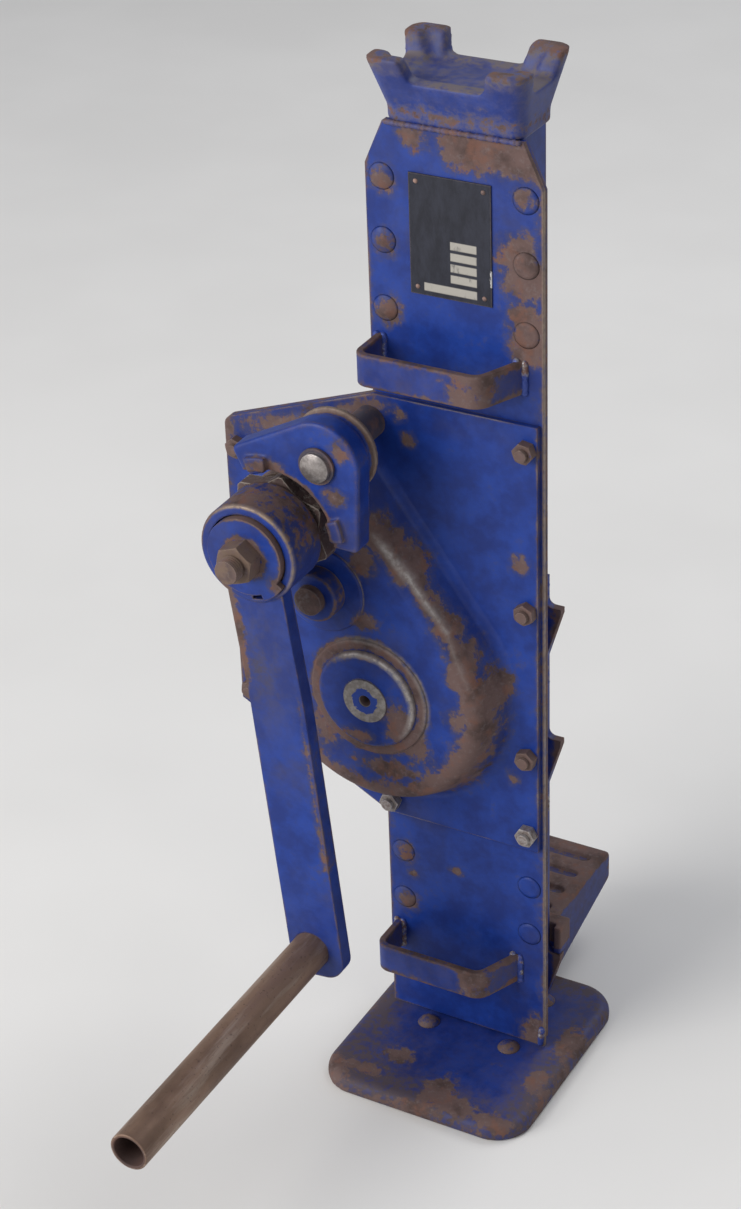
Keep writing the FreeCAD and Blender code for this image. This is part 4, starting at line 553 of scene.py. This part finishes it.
def rating_plate_black():
    """Blue-black plate with blank pale fields, chipped along its right edge."""
    finish = Finish("rating_plate_black")
    left, right = -0.034, 0.022
    bottom, top = 0.5815, 0.6610
    across = (finish.x - left) / (right - left)
    down = (top - finish.z) / (top - bottom)

    def field(x0, x1, d0, d1):
        sides = across.between(x0 - 0.006, x0 + 0.006) * (1.0 - across.between(x1 - 0.006, x1 + 0.006))
        ends = down.between(d0 - 0.005, d0 + 0.005) * (1.0 - down.between(d1 - 0.005, d1 + 0.005))
        return sides * ends

    fields = field(0.17, 0.82, 0.893, 0.960)
    for row in range(4):
        start = 0.515 + 0.092 * row
        fields = fields.at_least(field(0.50, 0.82, start, start + 0.066))
    scuff = finish.noise(160.0, 5.0, 0.7, (1.0, 1.0, 0.4))
    fine = finish.noise(600.0, 3.0, 0.6)
    worn = (scuff * 0.6 + fine * 0.4 + finish.edge(0.002) * 0.9).between(0.66, 0.76)
    chip_run = down.between(0.66, 0.72) * (1.0 - down.between(0.82, 0.88))
    chipped = finish.beyond(across, 0.950, 1.0) * chip_run * 0.34 + scuff * 0.5 + fine * 0.3
    chipped = chipped.between(0.60, 0.66)
    pale = fields * (1.0 - scuff.between(0.54, 0.70) * 0.6)
    black = finish.blend(scuff.between(0.3, 0.7), (0.011, 0.012, 0.020, 1.0), (0.024, 0.026, 0.040, 1.0))
    colour = finish.blend(pale, black, (0.37, 0.35, 0.315, 1.0))
    colour = finish.blend(worn * 0.5, colour, GREY_RUST)
    colour = finish.blend(chipped, colour, (0.50, 0.49, 0.47, 1.0))
    return finish.surface(colour, 0.46 + scuff * 0.2, worn * 0.2,
                          finish.bump(fields * 0.5 + worn * 0.3, 0.0003), 0.3)


def fastener_steel(name, tint=BROWN_RUST, silvery=None):
    """Nuts, bolts and rivets: brown with rubbed corners, silvery where the function given says so."""
    finish = Finish(name)
    plated = silvery(finish) if silvery else 0.0
    fine = finish.noise(380.0, 4.0, 0.65)
    broad = finish.noise(120.0, 4.0, 0.6)
    edge = finish.edge(0.0016)
    silver = (edge + fine * 0.5 + plated * 0.34).between(0.46, 0.74)
    rust = finish.blend(broad.between(0.35, 0.60), rust_colour(finish), tint)
    colour = finish.blend(silver, rust, finish.blend(plated, WORN_BEIGE, WORN_STEEL))
    colour = finish.blend((broad * 0.6 + fine * 0.4).between(0.60, 0.68) * 0.7, colour, DEEP_BLUE)
    return finish.surface(colour, 0.70 - silver * 0.32, silver * 0.7,
                          finish.bump(fine * 0.6, 0.0003, 0.0007))


def low_nuts(finish):
    """The cover's two lowest nuts."""
    return finish.beyond(0.0 - finish.z, -0.215, -0.205)


def stud_finish():
    """Pawl stud: a pale grey head on a dark washer, brown behind the pawl."""
    finish = Finish("stud_steel")
    radius = finish.radius(PAWL)
    fine = finish.noise(420.0, 4.0, 0.6)
    broad = finish.noise(90.0, 4.0, 0.6)
    head = finish.beyond(0.0 - finish.y, 0.0682, 0.0686) * (0.0102 - radius).between(0.0, 0.0004)
    grey = finish.blend(fine.between(0.35, 0.68), (0.205, 0.182, 0.176, 1.0), (0.310, 0.285, 0.275, 1.0))
    brown = finish.blend(broad.between(0.40, 0.62), rust_colour(finish), THIN_BLUE)
    colour = finish.blend(head, brown, grey)
    return finish.surface(colour, 0.66 - head * 0.36 + fine * 0.1, 0.15 + head * 0.55,
                          finish.bump(fine * 0.5, 0.0002, 0.0007))


def weld_metal():
    """Weld beads: silvery on the ripples, rusty between, some blue left."""
    finish = Finish("weld_metal")
    fine = finish.noise(420.0, 4.0, 0.65)
    broad = finish.noise(75.0, 4.0, 0.6)
    shine = (fine * 0.7 + broad * 0.3).between(0.42, 0.60)
    colour = finish.blend(shine, rust_colour(finish), (0.36, 0.35, 0.36, 1.0))
    colour = finish.blend(broad.between(0.44, 0.54) * 0.9, colour, MID_BLUE)
    return finish.surface(colour, 0.62 - shine * 0.2, shine * 0.45, finish.bump(fine, 0.0004))


def lining_material():
    """Woven brake lining, brown with darker threads."""
    finish = Finish("brake_lining")
    fine = finish.noise(700.0, 3.0, 0.6, (1.0, 3.0, 1.0))
    colour = finish.blend(fine.between(0.4, 0.6), (0.050, 0.034, 0.024, 1.0), (0.130, 0.095, 0.060, 1.0))
    return finish.surface(colour, 0.88, 0.0, finish.bump(fine, 0.0004))


# Finishes
plate_paint = enamel("plate_enamel", plate_losses, plate_bright, chips=0.015)
# The cover's bright line along the bulge's shoulder is a painted highlight
cover_paint = enamel("cover_enamel", cover_losses, cover_painted_highlight, chips=0.01, rubbed_and_highlight_to=WORN_STEEL)
# The main boss's bright rim crescent is a painted highlight
boss_paint = enamel("boss_enamel", boss_losses, boss_painted_highlight, chips=0.01, rubbed_and_highlight_to=WORN_STEEL)
head_paint = enamel("head_enamel", head_losses, None, head_thinned, 0.007, 1.2, 0.02, 0.35, DUSTY_GREY)
casing_paint = enamel("casing_enamel", casing_losses, edge_loss=1.2, chips=0.05, cloud=0.4,
                      thin_to=THIN_BROWN)
ear_paint = enamel("ear_enamel", ear_losses, edge_loss=1.2, chips=0.06, cloud=0.5, thin_to=THIN_BROWN)
strap_paint = enamel("strap_enamel", strap_losses, None, strap_thinned, 0.0035, 1.5, 0.03, 0.5, THIN_BROWN)
# The crank hub's bright front rim is a painted highlight
arm_paint = enamel("arm_enamel", arm_losses, arm_painted_highlight, arm_thinned, 0.004, 0.9, 0.015, 0.5,
                   rounding=0.0018)
disc_paint = enamel("disc_enamel", disc_losses, None, None, 0.003, 0.9, 0.01, 0.3)
pawl_paint = enamel("pawl_enamel", pawl_losses, pawl_bright, None, 0.006, 1.8, 0.035, 0.6, rub=1.6)
foot_paint = enamel("foot_enamel", foot_losses, None, foot_thinned, 0.006, 0.6, 0.02, 0.4, THIN_BROWN,
                    rub=0.3)
foot_rivet_paint = enamel("foot_rivet_enamel", None, None, None, 0.003, 0.2, 0.23, 0.6, THIN_BROWN,
                          rub=0.8)
claw_paint = enamel("claw_enamel", claw_losses, None, claw_thinned, 0.006, 1.1, 0.04, 0.5, THIN_BROWN)
rivet_paint = enamel("rivet_enamel", plate_losses, edge_reach=0.002, edge_loss=0.0, chips=0.015, rub=0.0)
axle_steel = axle_end()
pipe_steel = tube_steel()
label_black = rating_plate_black()
nut_steel = fastener_steel("nut_steel", (0.112, 0.068, 0.058, 1.0), low_nuts)
label_rivet_copper = fastener_steel("label_rivet_copper", (0.300, 0.185, 0.150, 1.0))
screw_steel = fastener_steel("screw_steel", (0.150, 0.098, 0.070, 1.0))
bead_metal = weld_metal()
lining_brown = lining_material()
stud_steel = stud_finish()
ratchet_steel = bare_metal("ratchet_steel", (0.420, 0.360, 0.310, 1.0), DARK_RUST, 0.80, 0.40, metallic=0.5)
rusty_steel = bare_metal("rusty_steel", GREY_RUST, DARK_RUST, 0.80, 0.55, metallic=0.45)
rack_steel = bare_metal("rack_steel", OILY_STEEL, DARK_RUST, 0.40, 0.34, (1.0, 1.0, 0.25), 0.75)
gear_steel = bare_metal("gear_steel", OILY_STEEL, DARK_RUST, 0.25, 0.32)


def dress(finish, *names):
    """Gives CAD nodes a finish in place of their plain slot colour."""
    for name in names:
        for slot in nodes[name].material_slots:
            slot.material = finish


dress(plate_paint, "front_plate")
dress(cover_paint, "gear_cover")
dress(boss_paint, "lift_bush_front", "mid_bush_front", "crank_bush_front")
dress(casing_paint, "rear_casing", "gear_case_back")
dress(ear_paint, "ear_plate")
dress(rivet_paint, "column_rivets")
dress(nut_steel, "cover_bolts", "cover_nuts")
dress(foot_rivet_paint, "foot_rivets")
dress(label_rivet_copper, "rating_plate_rivets")
dress(label_black, "rating_plate")
dress(axle_steel, "lift_pinion_shaft")
dress(rusty_steel, "mid_pinion_shaft", "lift_bush_rear", "mid_bush_rear", "crank_bush_rear")
dress(screw_steel, "crank_nut", "crank_pinion_shaft")
dress(rack_steel, "rack_bar")
dress(gear_steel, "main_gear", "main_gear_key", "mid_gear", "mid_gear_key", "lower_rack_guide",
      "upper_rack_guide", "rack_backing_block")
dress(ratchet_steel, "ratchet_wheel")
dress(lining_brown, "brake_lining_rear", "brake_lining_front")
dress(stud_steel, "pawl_stud")
dress(arm_paint, "crank_arm")
dress(disc_paint, "stop_disc")
dress(pipe_steel, "crank_handle_tube")
dress(pawl_paint, "rocker_pawl")
dress(claw_paint, "claw")
dress(head_paint, "head_crown")
dress(strap_paint, "upper_carry_handle", "lower_carry_handle")
dress(foot_paint, "foot_plate")


def piece(name, mesh, finish, body):
    """A new object with one finish, riding on a body."""
    made = bpy.data.objects.new(name, mesh)
    bpy.context.scene.collection.objects.link(made)
    mesh.materials.clear()
    mesh.materials.append(finish)
    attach(made, body)
    return made


def settled(name, mesh, voxel, passes):
    """The mesh skinned over with small cells and eased, so that its edges are round."""
    rough = bpy.data.objects.new(name + "_rough", mesh)
    bpy.context.scene.collection.objects.link(rough)
    skin = rough.modifiers.new("skin", "REMESH")
    skin.mode = "VOXEL"
    skin.voxel_size = voxel
    ease = rough.modifiers.new("ease", "SMOOTH")
    ease.factor = 0.5
    ease.iterations = passes
    graph = bpy.context.evaluated_depsgraph_get()
    done = bpy.data.meshes.new_from_object(rough.evaluated_get(graph))
    bpy.data.objects.remove(rough)
    done.name = name
    for face in done.polygons:
        face.use_smooth = True
    return done


def softened(node, finish, body, voxel, passes):
    """A forging in place of a CAD node: the same form with its edges worn round."""
    shape = bmesh.new()
    shape.from_mesh(nodes[node].data)
    bmesh.ops.remove_doubles(shape, verts=shape.verts, dist=MERGE_DISTANCE)
    low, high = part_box(node)
    middle = Matrix.Translation((Vector(low) + Vector(high)) * -0.5)
    bmesh.ops.scale(shape, vec=FORGING_SCALE, space=middle, verts=shape.verts)
    mesh = bpy.data.meshes.new(node + "_copy")
    shape.to_mesh(mesh)
    shape.free()
    made = piece(node + "_form", settled(node, mesh, voxel, passes), finish, body)
    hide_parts(node)


softened("head_crown", head_paint, "housing", 0.0015, 14)
softened("rocker_pawl", pawl_paint, "pawl", 0.0009, 4)
softened("claw", claw_paint, "claw", 0.0011, 2)
softened("foot_plate", foot_paint, "stand", 0.0015, 3)


def bead(name, runs, size, body, finish):
    """Weld beads: overlapping drops along straight runs, skinned over into ripples."""
    shape = bmesh.new()
    count = 0
    for start, end in runs:
        begin = Vector(start)
        way = Vector(end) - begin
        drops = max(3, int(way.length / (size * DROP_SPACING)))
        for index in range(drops + 1):
            swell = 1.0 + DROP_SWELL * math.sin(2.3 * count + 0.7 * index * index)
            place = Matrix.Translation(begin + way * (index / drops))
            bmesh.ops.create_icosphere(shape, subdivisions=2, radius=size * swell, matrix=place)
            count += 1
    mesh = bpy.data.meshes.new(name + "_drops")
    shape.to_mesh(mesh)
    shape.free()
    piece(name, settled(name, mesh, size * DROP_CELL, 1), finish, body)


def strap_runs(node):
    """Both sides of each end of a carrying handle, where it meets the front plate."""
    low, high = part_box(node)
    runs = []
    for x in (low.x, low.x + 0.005, high.x - 0.0055, high.x):
        runs.append(((x, FACE - 0.0004, low.z + 0.001), (x, FACE - 0.0004, high.z - 0.001)))
    return runs


def ear_runs():
    """Short runs below each ear and at the ear plate's top, along the casing's sides."""
    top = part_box("ear_plate")[1].z
    runs = []
    for shelf in EAR_SHELVES:
        for x in CASING_SIDES:
            runs.append(((x, CASING_REAR, shelf - 0.060), (x, CASING_REAR, shelf - 0.047)))
    for x in CASING_SIDES:
        runs.append(((x, CASING_REAR, top - 0.014), (x, CASING_REAR, top - 0.001)))
    return runs


def tube_runs():
    """Ring round the handle tube's end, behind the arm."""
    places = []
    for step in range(17):
        angle = math.tau * step / 16
        places.append((TUBE_END[0] + TUBE_RADIUS * math.cos(angle), ARM_REAR,
                       TUBE_END[1] + TUBE_RADIUS * math.sin(angle)))
    return list(zip(places, places[1:]))


bead("upper_strap_welds", strap_runs("upper_carry_handle"), STRAP_WELD, "housing", bead_metal)
bead("lower_strap_welds", strap_runs("lower_carry_handle"), STRAP_WELD, "housing", bead_metal)
bead("ear_welds", ear_runs(), STRAP_WELD, "housing", bead_metal)
bead("column_foot_weld", [((0.0535, 0.0050, 0.0165), (0.0545, 0.0050, 0.0290))], 0.0022, "housing",
     bead_metal)
bead("head_seam", [((-0.0485, 0.0050, 0.6908), (0.0405, 0.0050, 0.6908))], 0.0018, "housing", head_paint)
bead("tube_weld", tube_runs(), 0.0016, "crank", arm_paint)


def screw_thread(name, axes, start, end, shank, pitch, body, finish):
    """Ridges of a thread on round ends along Y; each ring's inner side lies within its shank."""
    shape = bmesh.new()
    ridges = int((end - start) / pitch)
    for axis in axes:
        profile = [(shank * THREAD_SEAT, start), (shank * THREAD_ROOT, start)]
        for ridge in range(ridges):
            profile.append((shank * THREAD_CREST, start + (ridge + 0.5) * pitch))
            profile.append((shank * THREAD_ROOT, start + (ridge + 1.0) * pitch))
        profile.append((shank * THREAD_SEAT, start + ridges * pitch))
        corners = [shape.verts.new((axis[0] + radius, y, axis[1])) for radius, y in profile]
        sides = [shape.edges.new(pair) for pair in zip(corners, corners[1:] + corners[:1])]
        bmesh.ops.spin(shape, geom=corners + sides, cent=(axis[0], 0.0, axis[1]), axis=(0.0, 1.0, 0.0),
                       angle=math.tau, steps=THREAD_STEPS, use_merge=True)
    bmesh.ops.remove_doubles(shape, verts=shape.verts, dist=MERGE_DISTANCE)
    bmesh.ops.recalc_face_normals(shape, faces=shape.faces)
    mesh = bpy.data.meshes.new(name)
    shape.to_mesh(mesh)
    shape.free()
    piece(name, mesh, finish, body)


screw_thread("crank_screw_thread", [CRANK], SCREW_END + 0.0004, NUT_FRONT, 0.008, 0.002, "crank_shaft",
             screw_steel)
screw_thread("cover_bolt_threads", COVER_BOLTS, -0.0078, -0.0050, 0.004, 0.00125, "housing", nut_steel)

# Floor
FLOOR_REACH = 9.0
floor_finish = Finish("pale_floor")
floor_grain = floor_finish.noise(3.0, 3.0, 0.5)
floor_colour = floor_finish.blend(floor_grain.between(0.3, 0.7), (0.76, 0.75, 0.735, 1.0),
                                  (0.80, 0.79, 0.775, 1.0))
floor_finish.surface(floor_colour, 0.85, 0.0)
ground = bmesh.new()
bmesh.ops.create_grid(ground, x_segments=4, y_segments=4, size=FLOOR_REACH)
ground_mesh = bpy.data.meshes.new("floor")
ground.to_mesh(ground_mesh)
ground.free()
ground_mesh.materials.append(floor_finish.material)
floor = bpy.data.objects.new("floor", ground_mesh)
bpy.context.scene.collection.objects.link(floor)

# Camera at the photo's place
CAMERA_PLACE = Vector((0.72798, -1.38367, 1.29769))
CAMERA_YAW = math.radians(30.52)
CAMERA_PITCH = math.radians(30.65)
CAMERA_ROLL = math.radians(-2.49)
CAMERA_LENS = 82.95
CAMERA_SENSOR = 36.0
CAMERA_SHIFT = (0.0201, -0.0012)
back = Vector((math.sin(CAMERA_YAW) * math.cos(CAMERA_PITCH),
               -math.cos(CAMERA_YAW) * math.cos(CAMERA_PITCH),
               math.sin(CAMERA_PITCH)))
level = Vector((math.cos(CAMERA_YAW), math.sin(CAMERA_YAW), 0.0))
upright = back.cross(level)
right = level * math.cos(CAMERA_ROLL) + upright * math.sin(CAMERA_ROLL)
above = upright * math.cos(CAMERA_ROLL) - level * math.sin(CAMERA_ROLL)
camera = bpy.data.objects.new("camera", bpy.data.cameras.new("camera"))
camera.matrix_world = Matrix(((right.x, above.x, back.x, CAMERA_PLACE.x),
                              (right.y, above.y, back.y, CAMERA_PLACE.y),
                              (right.z, above.z, back.z, CAMERA_PLACE.z),
                              (0.0, 0.0, 0.0, 1.0)))
camera.data.lens = CAMERA_LENS
camera.data.sensor_width = CAMERA_SENSOR
camera.data.shift_x, camera.data.shift_y = CAMERA_SHIFT
camera.data.clip_end = 60.0
bpy.context.scene.collection.objects.link(camera)
bpy.context.scene.camera = camera


def lamp(name, place, target, size, power, colour):
    """A round soft lamp turned to its target."""
    data = bpy.data.lights.new(name, "AREA")
    data.shape = "DISK"
    data.size = size
    data.energy = power
    data.color = colour
    made = bpy.data.objects.new(name, data)
    made.location = place
    made.rotation_euler = (Vector(target) - Vector(place)).to_track_quat("-Z", "Y").to_euler()
    bpy.context.scene.collection.objects.link(made)


# Light
lamp("window_light", (-1.8, -2.6, 1.9), (0.0, 0.0, 0.35), 2.8, 120.0, (1.0, 0.985, 0.96))
lamp("room_light", (2.2, -1.0, 2.0), (0.0, 0.0, 0.35), 1.0, 5.0, (1.0, 0.96, 0.92))
lamp("back_light", (0.6, 2.0, 2.6), (0.0, 0.0, 0.4), 2.0, 34.0, (0.97, 0.985, 1.0))
WORLD_COLOUR = (0.93, 0.95, 1.0, 1.0)
WORLD_STRENGTH = 0.34
world = bpy.data.worlds.new("studio")
world.use_nodes = True
background = world.node_tree.nodes["Background"]
background.inputs[0].default_value = WORLD_COLOUR
background.inputs[1].default_value = WORLD_STRENGTH
bpy.context.scene.world = world
bpy.context.scene.view_settings.view_transform = "Standard"

# Bring the scene up to date
bpy.context.view_layer.update()
